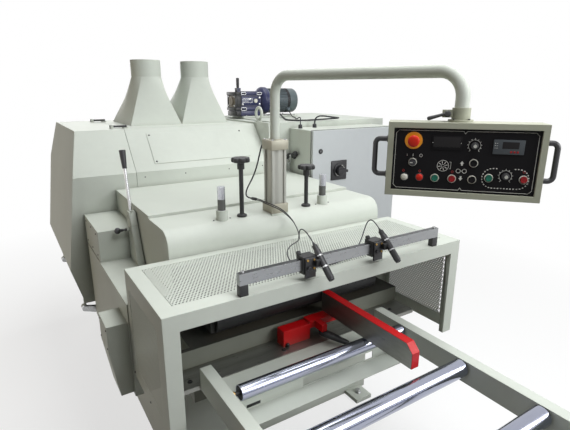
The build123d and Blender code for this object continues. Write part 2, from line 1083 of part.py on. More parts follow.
# Beam cover with rounded front, collars and holes for posts, stops and piston rod
post_places = [(press_x - post_offset, press_y), (press_x + post_offset, press_y)]
stop_places = [(press_x - stop_offset, press_y), (press_x + stop_offset, press_y)]
beam_rear_top = beam_top + beam_step
seat_bottom = beam_top - beam_seat
hole_bottom = seat_bottom - beam_wall


def beam_outline(bottom):
    """Side outline of the beam cover, in Y and Z."""
    with BuildLine() as outline:
        Polyline(
            (beam_front, beam_top - beam_round),
            (beam_front, bottom),
            (hood_front, bottom),
            (hood_front, beam_rear_top),
            (beam_step_y, beam_rear_top),
            (beam_step_y, beam_top),
            (beam_front + beam_round, beam_top),
        )
        RadiusArc(
            (beam_front + beam_round, beam_top),
            (beam_front, beam_top - beam_round),
            -beam_round,
        )
    make_face(outline.edges())


with BuildPart() as beam_cover:
    with BuildSketch(Plane.YZ.offset(beam_left)):
        beam_outline(ledge_height)
    extrude(amount=beam_right - beam_left)
    with BuildSketch(Plane.YZ.offset(beam_left + beam_wall)):
        beam_outline(ledge_height - 2 * beam_wall)
        offset(amount=-beam_wall, kind=Kind.INTERSECTION)
    extrude(amount=beam_right - beam_left - 2 * beam_wall, mode=Mode.SUBTRACT)
    span(
        beam_left + beam_wall,
        beam_right - beam_wall,
        beam_front,
        beam_front + beam_wall,
        ledge_height,
        beam_front_bottom,
        Mode.SUBTRACT,
    )
    with Locations((press_x, press_y, seat_bottom)):
        Box(cylinder_block, cylinder_block, beam_seat, align=STAND)
    for x, y in post_places:
        rod((x, y, seat_bottom), (x, y, beam_top + collar_height), collar_radius)
        rod(
            (x, y, hole_bottom),
            (x, y, beam_top + collar_height),
            post_radius + running_fit,
            Mode.SUBTRACT,
        )
    for x, y in stop_places:
        rod((x, y, seat_bottom), (x, y, beam_top), stop_flange_radius)
        rod((x, y, hole_bottom), (x, y, beam_top), stop_radius + running_fit, Mode.SUBTRACT)
    rod(
        (press_x, press_y, hole_bottom),
        (press_x, press_y, beam_top),
        rod_radius + running_fit,
        Mode.SUBTRACT,
    )
save(beam_cover, "beam_cover")

# Lift cylinder: two end blocks and a grooved barrel, bored for rod, piston and pipe
barrel_bottom = beam_top + cylinder_block_height
barrel_top = cylinder_top - cylinder_block_height
with BuildPart() as lift_cylinder:
    with Locations((press_x, press_y, beam_top), (press_x, press_y, barrel_top)):
        Box(cylinder_block, cylinder_block, cylinder_block_height, align=STAND)
    with BuildSketch(Plane.XY.offset(barrel_bottom)):
        with Locations((press_x, press_y)):
            Rectangle(cylinder_barrel, cylinder_barrel)
        with Locations((press_x, press_y)):
            with PolarLocations(cylinder_barrel / 2 - barrel_groove_depth / 2, 4):
                Rectangle(barrel_groove_depth, barrel_groove_width, mode=Mode.SUBTRACT)
    extrude(amount=barrel_top - barrel_bottom)
    rod(
        (press_x, press_y, beam_top),
        (press_x, press_y, barrel_bottom),
        rod_radius + running_fit,
        Mode.SUBTRACT,
    )
    rod(
        (press_x, press_y, barrel_bottom),
        (press_x, press_y, barrel_top),
        piston_radius + running_fit,
        Mode.SUBTRACT,
    )
    rod(
        (press_x, press_y, pipe_foot),
        (press_x, press_y, cylinder_top),
        pipe_radius + running_fit,
        Mode.SUBTRACT,
    )
save(lift_cylinder, "lift_cylinder")

# Press frame: plate with an arm at each end for the upper feed roller
feed_roller_z = feed_height + feed_roller_lift + feed_roller_radius
press_plate_bottom = feed_roller_z + feed_roller_radius + feed_roller_clear
press_plate_top = press_plate_bottom + press_plate_thickness
with BuildPart() as press_frame:
    press_left = press_x - press_plate_half
    press_right = press_x + press_plate_half
    span(press_left, press_right, press_plate_front, press_plate_rear, press_plate_bottom, press_plate_top)
    for arm_left in (press_left, press_right - press_arm_width):
        span(
            arm_left,
            arm_left + press_arm_width,
            feed_roller_y - press_arm_depth / 2,
            feed_roller_y + press_arm_depth / 2,
            feed_roller_z - press_arm_low,
            press_plate_bottom,
        )
    rod(
        (press_left, feed_roller_y, feed_roller_z),
        (press_right, feed_roller_y, feed_roller_z),
        feed_roller_stub + running_fit,
        Mode.SUBTRACT,
    )
save(press_frame, "press_frame")

# Press rods: two guide posts and the piston rod with its piston
with BuildPart() as press_rods:
    for x, y in post_places:
        rod((x, y, press_plate_top), (x, y, beam_top + post_rise), post_radius)
    piston_low = barrel_bottom + piston_start
    rod((press_x, press_y, press_plate_top), (press_x, press_y, piston_low), rod_radius)
    rod((press_x, press_y, piston_low), (press_x, press_y, piston_low + piston_height), piston_radius)
save(press_rods, "press_rods")

# Upper feed roller
with BuildPart() as upper_feed_roller:
    rod(
        (press_left + press_arm_width + side_gap, feed_roller_y, feed_roller_z),
        (press_right - press_arm_width - side_gap, feed_roller_y, feed_roller_z),
        feed_roller_radius,
    )
    rod(
        (press_left, feed_roller_y, feed_roller_z),
        (press_right, feed_roller_y, feed_roller_z),
        feed_roller_stub,
    )
save(upper_feed_roller, "upper_feed_roller")


def stop_screw(place, rise):
    """Stop screw through the beam, with a seat flange and a round knob."""
    x, y = place
    flange_bottom = beam_top + stop_seat_gap
    knob_top = beam_top + rise
    with BuildPart() as screw:
        rod((x, y, beam_top - stop_depth), (x, y, knob_top - knob_height), stop_radius)
        rod((x, y, flange_bottom), (x, y, flange_bottom + stop_flange_height), stop_flange_radius)
        rod(
            (x, y, knob_top - knob_height - knob_hub_height),
            (x, y, knob_top - knob_height),
            knob_hub_radius,
        )
        rod((x, y, knob_top - knob_height), (x, y, knob_top), knob_radius)
        rims = screw.edges().filter_by(GeomType.CIRCLE).sort_by(Axis.Z)[-1]
        fillet(rims, knob_height / 3)
    return screw


stop_screw_left = stop_screw(stop_places[0], stop_rise_left)
save(stop_screw_left, "stop_screw_left")
stop_screw_right = stop_screw(stop_places[1], stop_rise_right)
save(stop_screw_right, "stop_screw_right")

# Hood over the saw chamber: walls, roof strips round the mouths of the chutes, latch keepers
chute_middle = (chute_front + chute_rear) / 2
chute_depth = chute_rear - chute_front
chute_places = [-chute_spacing / 2, chute_spacing / 2]
mouth_front = chute_front + thin_sheet
mouth_rear = chute_rear - thin_sheet
roof_bottom = hood_top - sheet
with BuildPart() as hood_form:
    with BuildSketch(Plane.YZ.offset(-hood_half)):
        chamber_outline(feed_height)
    extrude(amount=2 * hood_half)
    with BuildSketch(Plane.YZ.offset(-hood_half + sheet)):
        chamber_outline(feed_height - 2 * sheet)
        offset(amount=-sheet, kind=Kind.INTERSECTION)
    extrude(amount=2 * (hood_half - sheet), mode=Mode.SUBTRACT)
    span(
        -hood_half + sheet,
        hood_half - sheet,
        hood_front,
        hood_rear,
        feed_height,
        feed_height + throat_height,
        Mode.SUBTRACT,
    )
    span(
        -hood_half,
        -hood_half + sheet,
        arbor_y - blade_door_half,
        arbor_y + blade_door_half,
        feed_height,
        blade_door_top,
        Mode.SUBTRACT,
    )
    rod(
        (hood_half - sheet, arbor_y, arbor_z),
        (hood_half, arbor_y, arbor_z),
        arbor_hole_radius,
        Mode.SUBTRACT,
    )
    for chute_x in chute_places:
        span(
            chute_x - chute_width / 2 + thin_sheet,
            chute_x + chute_width / 2 - thin_sheet,
            mouth_front,
            mouth_rear,
            roof_bottom,
            hood_top,
            Mode.SUBTRACT,
        )


def hood_slice(y0, y1, z0, z1):
    """Solids of the hood between two stations along the feed and two heights."""
    with BuildPart() as piece:
        add(hood_form.part)
        span(-hood_half, hood_half, y0, y1, z0, z1, Mode.INTERSECT)
    return piece.part.solids()


with BuildPart() as keepers:
    for latch_y in (latch_front_y, latch_rear_y):
        with Locations((-hood_half + keeper_inset, latch_y, hood_top)):
            Box(keeper_length, keeper_width, keeper_height, align=(Align.MIN, Align.CENTER, Align.MIN))
hood_shell = Compound(
    children=[
        *hood_slice(hood_front, hood_rear, feed_height, roof_bottom),
        *hood_slice(hood_front, mouth_front, roof_bottom, hood_top),
        *hood_slice(mouth_front, mouth_rear, roof_bottom, hood_top),
        *hood_slice(mouth_rear, hood_rear, roof_bottom, hood_top),
        *keepers.part.solids(),
    ]
)
hood_shell.label = "hood_shell"
export_step(hood_shell, "parts/hood_shell.step")


def chute_body(chute_x, inset):
    """Rectangle to round duct with a straight spigot, inset for the inside."""
    with BuildPart() as body:
        with BuildSketch(Plane.XY.offset(hood_top)):
            with Locations((chute_x, chute_middle)):
                Rectangle(chute_width - 2 * inset, chute_depth - 2 * inset)
        with BuildSketch(Plane.XY.offset(chute_cone_top)):
            with Locations((chute_x, chute_spigot_y)):
                Circle(chute_spigot_radius - inset)
        loft()
        rod(
            (chute_x, chute_spigot_y, chute_cone_top),
            (chute_x, chute_spigot_y, chute_top),
            chute_spigot_radius - inset,
        )
    return body.part


def dust_chute(chute_x):
    """Thin-walled dust chute, open at both ends."""
    with BuildPart() as chute:
        add(chute_body(chute_x, 0))
        add(chute_body(chute_x, thin_sheet), mode=Mode.SUBTRACT)
    return chute


left_dust_chute = dust_chute(chute_places[0])
save(left_dust_chute, "left_dust_chute")
right_dust_chute = dust_chute(chute_places[1])
save(right_dust_chute, "right_dust_chute")

# Left end cover: faceted shell, open towards the saw, on two bottom hinges
cover_inner = -hood_half - cover_gap
cover_section = [
    (cover_inner, hood_top),
    (cover_top_x, hood_top),
    (cover_eaves_x, hood_eaves),
    (cover_belly_x, cover_belly_z),
    (cover_foot_x, cover_foot_z),
    (cover_low_inner, cover_foot_z),
    (cover_low_inner, cover_low_top),
    (cover_inner, cover_low_top),
]
hinge_places = (hinge_front_y, hinge_rear_y)
latch_pivot_z = hood_top + latch_pivot_rise


def end_cover_core(inset):
    """Volume of the end cover, or of the space inside it."""
    with BuildPart() as core:
        with BuildSketch(Plane.XZ.offset(-hood_rear)):
            plate_outline([(x + inset, z - inset) for x, z in cover_section])
        extrude(amount=hood_rear - hood_front)
        with BuildSketch(Plane.YZ.offset(cover_belly_x)):
            chamber_outline(cover_foot_z - 2 * inset)
            if inset:
                offset(amount=-inset, kind=Kind.INTERSECTION)
        extrude(amount=cover_inner + inset - cover_belly_x, mode=Mode.INTERSECT)
    return core.part


with BuildPart() as end_cover:
    add(end_cover_core(0))
    add(end_cover_core(sheet), mode=Mode.SUBTRACT)
    for hinge_y in hinge_places:
        knuckle_start = hinge_y + hinge_arm_width / 2 + side_gap
        knuckle_end = knuckle_start + knuckle_length
        span(
            hinge_x,
            hinge_x + knuckle_tab,
            knuckle_start,
            knuckle_end,
            hinge_z,
            hinge_z + knuckle_tab_height,
        )
        rod((hinge_x, knuckle_start, hinge_z), (hinge_x, knuckle_end, hinge_z), hinge_barrel_radius)
        rod(
            (hinge_x, knuckle_start, hinge_z),
            (hinge_x, knuckle_end, hinge_z),
            hinge_pin_radius + running_fit,
            Mode.SUBTRACT,
        )
    for latch_y in (latch_front_y, latch_rear_y):
        ear_inner = latch_width / 2 + side_gap
        ear_outer = ear_inner + latch_ear_width
        for ear_start, ear_end in ((-ear_outer, -ear_inner), (ear_inner, ear_outer)):
            span(
                latch_pivot_x - latch_ear_radius,
                latch_pivot_x + latch_ear_radius,
                latch_y + ear_start,
                latch_y + ear_end,
                hood_top,
                latch_pivot_z + latch_ear_radius,
            )
        rod(
            (latch_pivot_x, latch_y - ear_outer, latch_pivot_z),
            (latch_pivot_x, latch_y + ear_outer, latch_pivot_z),
            latch_pin_radius,
        )
save(end_cover, "end_cover")

# Fixed hinge arms with their pins, bolted to the pedestal's left side
arm_root = -base_width / 2
with BuildPart() as cover_hinges:
    for hinge_y in hinge_places:
        arm_start = hinge_y - hinge_arm_width / 2
        with BuildSketch(Plane.XZ.offset(-arm_start - hinge_arm_width)):
            plate_outline(
                [
                    (arm_root, base_height - hinge_arm_depth),
                    (arm_root, base_height),
                    (hinge_x, hinge_z + hinge_barrel_radius),
                    (hinge_x, hinge_z - hinge_barrel_radius),
                ]
            )
        extrude(amount=hinge_arm_width)
        arm_end = arm_start + hinge_arm_width
        rod((hinge_x, arm_start, hinge_z), (hinge_x, arm_end, hinge_z), hinge_barrel_radius)
        rod(
            (hinge_x, arm_end, hinge_z),
            (hinge_x, arm_end + side_gap + knuckle_length, hinge_z),
            hinge_pin_radius,
        )
save(cover_hinges, "cover_hinges")


def cover_latch(latch_y):
    """Toggle latch lever that reaches over the seam to its keeper."""
    lever_bottom = hood_top + keeper_height + latch_clear
    with BuildPart() as latch:
        span(
            latch_pivot_x,
            latch_pivot_x + latch_reach,
            latch_y - latch_width / 2,
            latch_y + latch_width / 2,
            lever_bottom,
            lever_bottom + latch_thickness,
        )
        rod(
            (latch_pivot_x, latch_y - latch_width / 2, latch_pivot_z),
            (latch_pivot_x, latch_y + latch_width / 2, latch_pivot_z),
            latch_ear_radius,
        )
        rod(
            (latch_pivot_x, latch_y - latch_width / 2, latch_pivot_z),
            (latch_pivot_x, latch_y + latch_width / 2, latch_pivot_z),
            latch_pin_radius + running_fit,
            Mode.SUBTRACT,
        )
    return latch


latch_front = cover_latch(latch_front_y)
save(latch_front, "latch_front")
latch_rear = cover_latch(latch_rear_y)
save(latch_rear, "latch_rear")

# Arbor with coupling and motor shaft
coupling_right = coupling_left + coupling_length
with BuildPart() as arbor_shaft:
    rod((arbor_left, arbor_y, arbor_z), (-sleeve_half, arbor_y, arbor_z), arbor_radius)
    rod((-sleeve_half, arbor_y, arbor_z), (sleeve_half, arbor_y, arbor_z), sleeve_radius)
    rod((sleeve_half, arbor_y, arbor_z), (coupling_left, arbor_y, arbor_z), arbor_radius)
    rod((coupling_left, arbor_y, arbor_z), (coupling_right, arbor_y, arbor_z), coupling_radius)
    rod(
        (coupling_right, arbor_y, arbor_z),
        (motor_left + motor_shaft_seat, arbor_y, arbor_z),
        motor_shaft_radius,
    )
save(arbor_shaft, "arbor_shaft")

# Saw blades on the arbor sleeve
blade_radius = blade_diameter / 2
first_blade = -blade_pitch * (blade_count - 1) / 2
tooth_half = math.pi * blade_radius / blade_teeth / 2
with BuildPart() as saw_blades:
    for blade in range(blade_count):
        blade_x = first_blade + blade * blade_pitch - blade_thickness / 2
        with BuildSketch(Plane(origin=(blade_x, arbor_y, arbor_z), z_dir=(1, 0, 0))):
            Circle(blade_radius)
            Circle(sleeve_radius + running_fit, mode=Mode.SUBTRACT)
            with PolarLocations(blade_radius, blade_teeth):
                Triangle(
                    a=2 * tooth_half,
                    b=math.hypot(tooth_half, tooth_depth),
                    c=math.hypot(tooth_half, tooth_depth),
                    rotation=90,
                    align=(Align.CENTER, Align.CENTER),
                    mode=Mode.SUBTRACT,
                )
        extrude(amount=blade_thickness)
save(saw_blades, "saw_blades")

# Arbor bearings: pillow block on the bed at the left, ring in the arbor frame at the right
with BuildPart() as arbor_bearings:
    span(
        pillow_left,
        pillow_left + pillow_width,
        arbor_y - pillow_half,
        arbor_y + pillow_half,
        feed_height,
        arbor_z + pillow_rise,
    )
    rod(
        (arbor_frame_left, arbor_y, arbor_z),
        (arbor_frame_left + arbor_frame_width, arbor_y, arbor_z),
        bearing_ring_radius - running_fit,
    )
    rod(
        (pillow_left, arbor_y, arbor_z),
        (arbor_frame_left + arbor_frame_width, arbor_y, arbor_z),
        arbor_radius + running_fit,
        Mode.SUBTRACT,
    )
save(arbor_bearings, "arbor_bearings")

# Main motor on its stand
motor_right = motor_left + motor_length
motor_base = arbor_z - motor_radius - motor_foot_height
with BuildPart() as motor_body:
    rod((motor_left, arbor_y, arbor_z), (motor_right, arbor_y, arbor_z), motor_radius)
    span(
        motor_left + motor_foot_height,
        motor_right - motor_foot_height,
        arbor_y - motor_foot_half,
        arbor_y + motor_foot_half,
        motor_base,
        motor_base + motor_foot_height,
    )
    span(
        motor_left + motor_foot_height,
        motor_right - motor_foot_height,
        arbor_y - motor_radius / 2,
        arbor_y + motor_radius / 2,
        motor_base,
        arbor_z,
    )
    rod(
        (motor_left, arbor_y, arbor_z),
        (motor_left + motor_shaft_seat + side_gap, arbor_y, arbor_z),
        motor_shaft_radius + running_fit,
        Mode.SUBTRACT,
    )
with BuildPart() as motor_stand:
    span(
        motor_left,
        motor_right,
        arbor_y - motor_foot_half,
        arbor_y + motor_foot_half,
        0,
        motor_base,
    )
    span(
        motor_left + base_wall,
        motor_right - base_wall,
        arbor_y - motor_foot_half + base_wall,
        arbor_y + motor_foot_half - base_wall,
        0,
        motor_base - base_wall,
        Mode.SUBTRACT,
    )
main_motor = Compound(children=[*motor_body.part.solids(), *motor_stand.part.solids()])
main_motor.label = "main_motor"
export_step(main_motor, "parts/main_motor.step")

# Drive housing: front, right, rear and top sheets, the front one reaching over the arbor frame
drive_section = [
    (drive_left, feed_height),
    (base_width / 2, feed_height),
    (base_width / 2, 0),
    (drive_right, 0),
    (drive_right, drive_top),
    (drive_left, drive_top),
]
with BuildPart() as drive_housing:
    with BuildSketch(Plane.XZ.offset(-drive_rear)):
        plate_outline(drive_section)
    extrude(amount=drive_rear - drive_front)
    with BuildSketch(Plane.XZ.offset(-drive_rear + sheet)):
        plate_outline([(x - sheet, z - sheet) for x, z in drive_section])
    extrude(amount=drive_rear - drive_front - 2 * sheet, mode=Mode.SUBTRACT)
    span(arbor_frame_left, drive_left, drive_front, drive_front + sheet, feed_height, drive_top)
save(drive_housing, "drive_housing")

# Feed gearbox on its plinth, with the flange disc and two ears for the speed lever
plinth_top = drive_top + gear_plinth_height
gear_right = gear_left + gear_length
disc_right = gear_disc_left + gear_disc_width
speed_pivot_z = gear_top + speed_pivot_rise
speed_ear_start = speed_hub_width / 2 + side_gap
with BuildPart() as feed_gearbox:
    span(
        drive_left,
        gear_plinth_right,
        gear_y - gear_plinth_half,
        gear_y + gear_plinth_half,
        drive_top,
        plinth_top,
    )
    span(gear_left, gear_right, gear_y - gear_half_depth, gear_y + gear_half_depth, plinth_top, gear_top)
    rod((gear_right, gear_y, gear_axis_z), (gear_disc_left, gear_y, gear_axis_z), gear_neck_radius)
    rod((gear_disc_left, gear_y, gear_axis_z), (disc_right, gear_y, gear_axis_z), gear_disc_radius)
    for ear_start in (speed_ear_start, -speed_ear_start - speed_ear_width):
        span(
            speed_lever_x - speed_hub_radius,
            speed_lever_x + speed_hub_radius,
            gear_y + ear_start,
            gear_y + ear_start + speed_ear_width,
            gear_top,
            speed_pivot_z + speed_pin_radius + speed_ear_width,
        )
    rod(
        (speed_lever_x, gear_y - speed_ear_start - speed_ear_width, speed_pivot_z),
        (speed_lever_x, gear_y + speed_ear_start + speed_ear_width, speed_pivot_z),
        speed_pin_radius + running_fit,
        Mode.SUBTRACT,
    )
save(feed_gearbox, "feed_gearbox")

# Feed motor with its fan cap and two cable terminals
terminal_angle = math.radians(terminal_tilt)
terminal_direction = Vector(0, -math.sin(terminal_angle), -math.cos(terminal_angle))
with BuildPart() as feed_motor:
    motor_end = disc_right + feed_motor_length
    rod((disc_right, gear_y, gear_axis_z), (motor_end, gear_y, gear_axis_z), feed_motor_radius)
    cap_edge = feed_motor.edges().filter_by(GeomType.CIRCLE).sort_by(Axis.X)[-1]
    fillet(cap_edge, feed_motor_cap)
    for terminal_x in (power_terminal_x, control_terminal_x):
        motor_middle = Vector(terminal_x, gear_y, gear_axis_z)
        rod(motor_middle, motor_middle + terminal_direction * terminal_reach, terminal_radius)
save(feed_motor, "feed_motor")

# Speed lever between the gearbox ears
with BuildPart() as speed_lever:
    pin_half = speed_ear_start + speed_ear_width
    handle_top = speed_pivot_z + speed_handle_length
    rod(
        (speed_lever_x, gear_y - speed_hub_width / 2, speed_pivot_z),
        (speed_lever_x, gear_y + speed_hub_width / 2, speed_pivot_z),
        speed_hub_radius,
    )
    rod(
        (speed_lever_x, gear_y - pin_half, speed_pivot_z),
        (speed_lever_x, gear_y + pin_half, speed_pivot_z),
        speed_pin_radius,
    )
    rod(
        (speed_lever_x, gear_y, speed_pivot_z),
        (speed_lever_x, gear_y, handle_top),
        speed_rod_radius,
        end_radius=speed_handle_radius,
    )
save(speed_lever, "speed_lever")

# Lifting eye bolt on the arbor frame
with BuildPart() as eye_bolt:
    ring_z = arbor_frame_top + eye_ring_rise
    rod(
        (eye_x, eye_y, arbor_frame_top),
        (eye_x, eye_y, arbor_frame_top + eye_collar_height),
        eye_collar_radius,
    )
    rod(
        (eye_x, eye_y, arbor_frame_top + eye_collar_height),
        (eye_x, eye_y, ring_z - eye_ring_radius),
        eye_neck_radius,
    )
    with BuildSketch(Plane(origin=(eye_x, eye_y + eye_ring_radius, ring_z), z_dir=(0, 0, 1))):
        Circle(eye_bar_radius)
    revolve(axis=Axis((eye_x, eye_y, ring_z), (1, 0, 0)))
save(eye_bolt, "eye_bolt")

# Cabinet body on its plinth, open at the front, with hinge pins
body_front = cabinet_front + door_depth
hinge_levels = (door_hinge_low, door_hinge_high)
gland_top = cabinet_top + gland_height
with BuildPart() as cabinet_body:
    span(
        cabinet_left + cabinet_plinth_inset,
        cabinet_right - cabinet_plinth_inset,
        body_front + cabinet_plinth_inset,
        cabinet_rear,
        0,
        cabinet_bottom,
    )
    span(
        cabinet_left + cabinet_plinth_inset + cabinet_sheet,
        cabinet_right - cabinet_plinth_inset - cabinet_sheet,
        body_front + cabinet_plinth_inset + cabinet_sheet,
        cabinet_rear - cabinet_sheet,
        0,
        cabinet_bottom,
        Mode.SUBTRACT,
    )
    span(cabinet_left, cabinet_right, body_front, cabinet_rear, cabinet_bottom, cabinet_top)
    span(
        cabinet_left + cabinet_sheet,
        cabinet_right - cabinet_sheet,
        body_front,
        cabinet_rear - cabinet_sheet,
        cabinet_bottom + cabinet_sheet,
        cabinet_top - cabinet_sheet,
        Mode.SUBTRACT,
    )
    for level in hinge_levels:
        rod(
            (hinge_axis_x, hinge_axis_y, level),
            (hinge_axis_x, hinge_axis_y, level + door_knuckle),
            door_barrel_radius,
        )
        span(
            cabinet_right - cabinet_sheet,
            hinge_axis_x,
            body_front,
            body_front + door_hinge_in,
            level,
            level + door_knuckle,
        )
        span(
            cabinet_right,
            hinge_axis_x,
            hinge_axis_y,
            body_front + door_hinge_in,
            level,
            level + door_knuckle,
        )
        rod(
            (hinge_axis_x, hinge_axis_y, level + door_knuckle),
            (hinge_axis_x, hinge_axis_y, level + 2 * door_knuckle + side_gap),
            door_pin_radius,
        )
    for gland_x, gland_y in (power_gland, control_gland):
        rod((gland_x, gland_y, cabinet_top), (gland_x, gland_y, gland_top), gland_radius)
save(cabinet_body, "cabinet_body")

# Cabinet door: folded pan on the hinge pins
door_rear = body_front - side_gap
with BuildPart() as cabinet_door:
    door_left = cabinet_left + door_gap
    door_right = cabinet_right - door_gap
    door_low = cabinet_bottom + door_gap
    door_high = cabinet_top - door_gap
    span(door_left, door_right, cabinet_front, door_rear, door_low, door_high)
    span(
        door_left + cabinet_sheet,
        door_right - cabinet_sheet,
        cabinet_front + cabinet_sheet,
        door_rear,
        door_low + cabinet_sheet,
        door_high - cabinet_sheet,
        Mode.SUBTRACT,
    )
    for level in hinge_levels:
        knuckle_low = level + door_knuckle + side_gap
        rod(
            (hinge_axis_x, hinge_axis_y, knuckle_low),
            (hinge_axis_x, hinge_axis_y, knuckle_low + door_knuckle),
            door_barrel_radius,
        )
        span(
            door_right - cabinet_sheet,
            hinge_axis_x,
            hinge_axis_y - door_tab,
            hinge_axis_y,
            knuckle_low,
            knuckle_low + door_knuckle,
        )
        rod(
            (hinge_axis_x, hinge_axis_y, knuckle_low),
            (hinge_axis_x, hinge_axis_y, knuckle_low + door_knuckle),
            door_pin_radius + running_fit,
            Mode.SUBTRACT,
        )
    rod(
        (switch_x, cabinet_front, switch_z),
        (switch_x, cabinet_front + cabinet_sheet, switch_z),
        switch_shaft_radius + running_fit,
        Mode.SUBTRACT,
    )
save(cabinet_door, "cabinet_door")

# Main switch handle on the cabinet door
with BuildPart() as main_switch:
    hub_front = cabinet_front - switch_standoff - switch_hub_depth
    rod(
        (switch_x, hub_front, switch_z),
        (switch_x, cabinet_front + door_depth / 2, switch_z),
        switch_shaft_radius,
    )
    rod(
        (switch_x, hub_front, switch_z),
        (switch_x, cabinet_front - switch_standoff, switch_z),
        switch_hub_radius,
    )
    span(
        switch_x - switch_grip_length / 2,
        switch_x + switch_grip_length / 2,
        hub_front - switch_grip_depth,
        hub_front,
        switch_z - switch_grip_width / 2,
        switch_z + switch_grip_width / 2,
    )
save(main_switch, "main_switch")

# Pendant pipe from its socket in the cylinder to the collar of the box
with BuildPart() as pendant_arm:
    with BuildLine() as pipe_line:
        FilletPolyline(
            (press_x, press_y, pipe_foot),
            (press_x, press_y, pipe_top),
            (pipe_axis[0], pipe_axis[1], pipe_top),
            (pipe_axis[0], pipe_axis[1], pipe_end),
            radius=pipe_bend,
        )
    with BuildSketch(Plane.XY.offset(pipe_foot)):
        with Locations((press_x, press_y)):
            Circle(pipe_radius)
            Circle(pipe_radius - pipe_wall, mode=Mode.SUBTRACT)
    sweep(path=pipe_line.wires()[0])
save(pendant_arm, "pendant_arm")


def side_handle(side_x, out):
    """U handle on one side of the pendant box, standing out along its own X."""
    middle = (pendant_top + pendant_bottom) / 2
    low = middle - handle_span / 2
    high = middle + handle_span / 2
    far = side_x + out * handle_standoff
    with BuildPart() as handle:
        with BuildLine(pendant_plane) as grip_line:
            FilletPolyline(
                (side_x, 0, low),
                (far, 0, low),
                (far, 0, high),
                (side_x, 0, high),
                radius=handle_bend,
            )
        start = pendant_plane.from_local_coords(Vector(side_x, 0, low))
        with BuildSketch(Plane(origin=start, z_dir=pendant_plane.x_dir * out)):
            Circle(handle_radius)
        sweep(path=grip_line.wires()[0])
    return handle.part


# Pendant box: case with recessed front, collar with clamp ears, side handles
with BuildPart(pendant_plane) as pendant_case:
    pendant_rear = pendant_depth - pendant_front
    span(pendant_left, pendant_right, -pendant_front, pendant_rear, pendant_bottom, pendant_top)
    span(
        pendant_left + pendant_sheet,
        pendant_right - pendant_sheet,
        panel_face,
        pendant_rear - pendant_sheet,
        pendant_bottom + pendant_sheet,
        pendant_top - pendant_sheet,
        Mode.SUBTRACT,
    )
    span(
        pendant_left + bezel_width,
        pendant_right - bezel_width,
        -pendant_front,
        panel_face,
        pendant_bottom + bezel_width,
        pendant_top - bezel_width,
        Mode.SUBTRACT,
    )
    with Locations((0, 0, pendant_top)):
        Cylinder(flange_radius, flange_height, align=STAND)
    with Locations((0, 0, collar_bottom)):
        Cylinder(pipe_collar_radius, pipe_collar_height, align=STAND)
    ear_low = collar_bottom + (pipe_collar_height - ear_height) / 2
    span(-ear_reach, 0, -ear_half, ear_half, ear_low, ear_low + ear_height)
    with Locations((0, 0, pipe_end - side_gap)):
        Cylinder(
            pipe_radius + running_fit,
            collar_bottom + pipe_collar_height - pipe_end + side_gap,
            align=STAND,
            mode=Mode.SUBTRACT,
        )
    ear_middle = ear_low + ear_height / 2
    with Locations(Location((ear_stud_x, 0, ear_middle), (90, 0, 0))):
        Cylinder(lever_stud_radius + running_fit, 2 * ear_half, mode=Mode.SUBTRACT)
pendant_box = Compound(
    children=[
        *pendant_case.part.solids(),
        *side_handle(pendant_left, -1).solids(),
        *side_handle(pendant_right, 1).solids(),
    ]
)
pendant_box.label = "pendant_box"
export_step(pendant_box, "parts/pendant_box.step")

# Clamp lever on the collar's ears
with BuildPart(pendant_plane) as clamp_lever:
    boss_rear = -ear_half - side_gap
    boss_front = boss_rear - lever_boss_length
    with Locations(Location((ear_stud_x, (boss_front + ear_half) / 2, ear_middle), (90, 0, 0))):
        Cylinder(lever_stud_radius, ear_half - boss_front)
    with Locations(Location((ear_stud_x, (boss_front + boss_rear) / 2, ear_middle), (90, 0, 0))):
        Cylinder(lever_boss_radius, lever_boss_length)
    arm_y = (boss_front + boss_rear) / 2
    arm_length = math.hypot(lever_arm_reach, lever_arm_drop)
    arm_turn = math.degrees(math.atan2(lever_arm_drop, lever_arm_reach))
    arm_middle = (
        ear_stud_x - lever_arm_reach / 2,
        arm_y,
        ear_middle - lever_arm_drop / 2,
    )
    with Locations(Location(arm_middle, (0, 90 - arm_turn, 0))):
        Cylinder(lever_arm_radius, arm_length)
save(clamp_lever, "clamp_lever")

# Controls on the panel, by name
push_buttons = {
    "start_button": start_button_at,
    "halt_button": halt_button_at,
    "raise_button": raise_button_at,
    "lower_button": lower_button_at,
    "feed_start_button": feed_start_button_at,
    "feed_halt_button": feed_halt_button_at,
}
dials = {"spindle_speed_knob": spindle_knob_at, "feed_speed_knob": feed_knob_at}
control_places = [*push_buttons.values(), *dials.values(), stop_button_at, selector_at]

# Control panel behind the bezel, with a hole for each control
with BuildPart(pendant_plane) as pendant_panel:
    panel_inset = bezel_width - panel_lap
    panel_rear = panel_face + panel_sheet
    span(
        pendant_left + panel_inset,
        pendant_right - panel_inset,
        panel_face,
        panel_rear,
        pendant_bottom + panel_inset,
        pendant_top - panel_inset,
    )
    for along, height in control_places:
        with Locations(Location((along, panel_face + panel_sheet / 2, height), (90, 0, 0))):
            Cylinder(button_stem_radius + running_fit, panel_sheet, mode=Mode.SUBTRACT)
save(pendant_panel, "pendant_panel")


def control(place, steps):
    """Round control on the panel: steps are (front, rear, radius) distances from the panel face."""
    along, height = place
    with BuildPart(pendant_plane) as turned:
        for front, rear, radius in steps:
            middle = panel_face + (front + rear) / 2
            with Locations(Location((along, middle, height), (90, 0, 0))):
                Cylinder(radius, rear - front)
    return turned


for button_name, button_place in push_buttons.items():
    cap_front = -button_standoff - button_cap_height
    push_button = control(
        button_place,
        [
            (cap_front, -button_standoff, button_cap_radius),
            (-button_standoff, button_stem_length - button_standoff, button_stem_radius),
        ],
    )
    save(push_button, button_name)

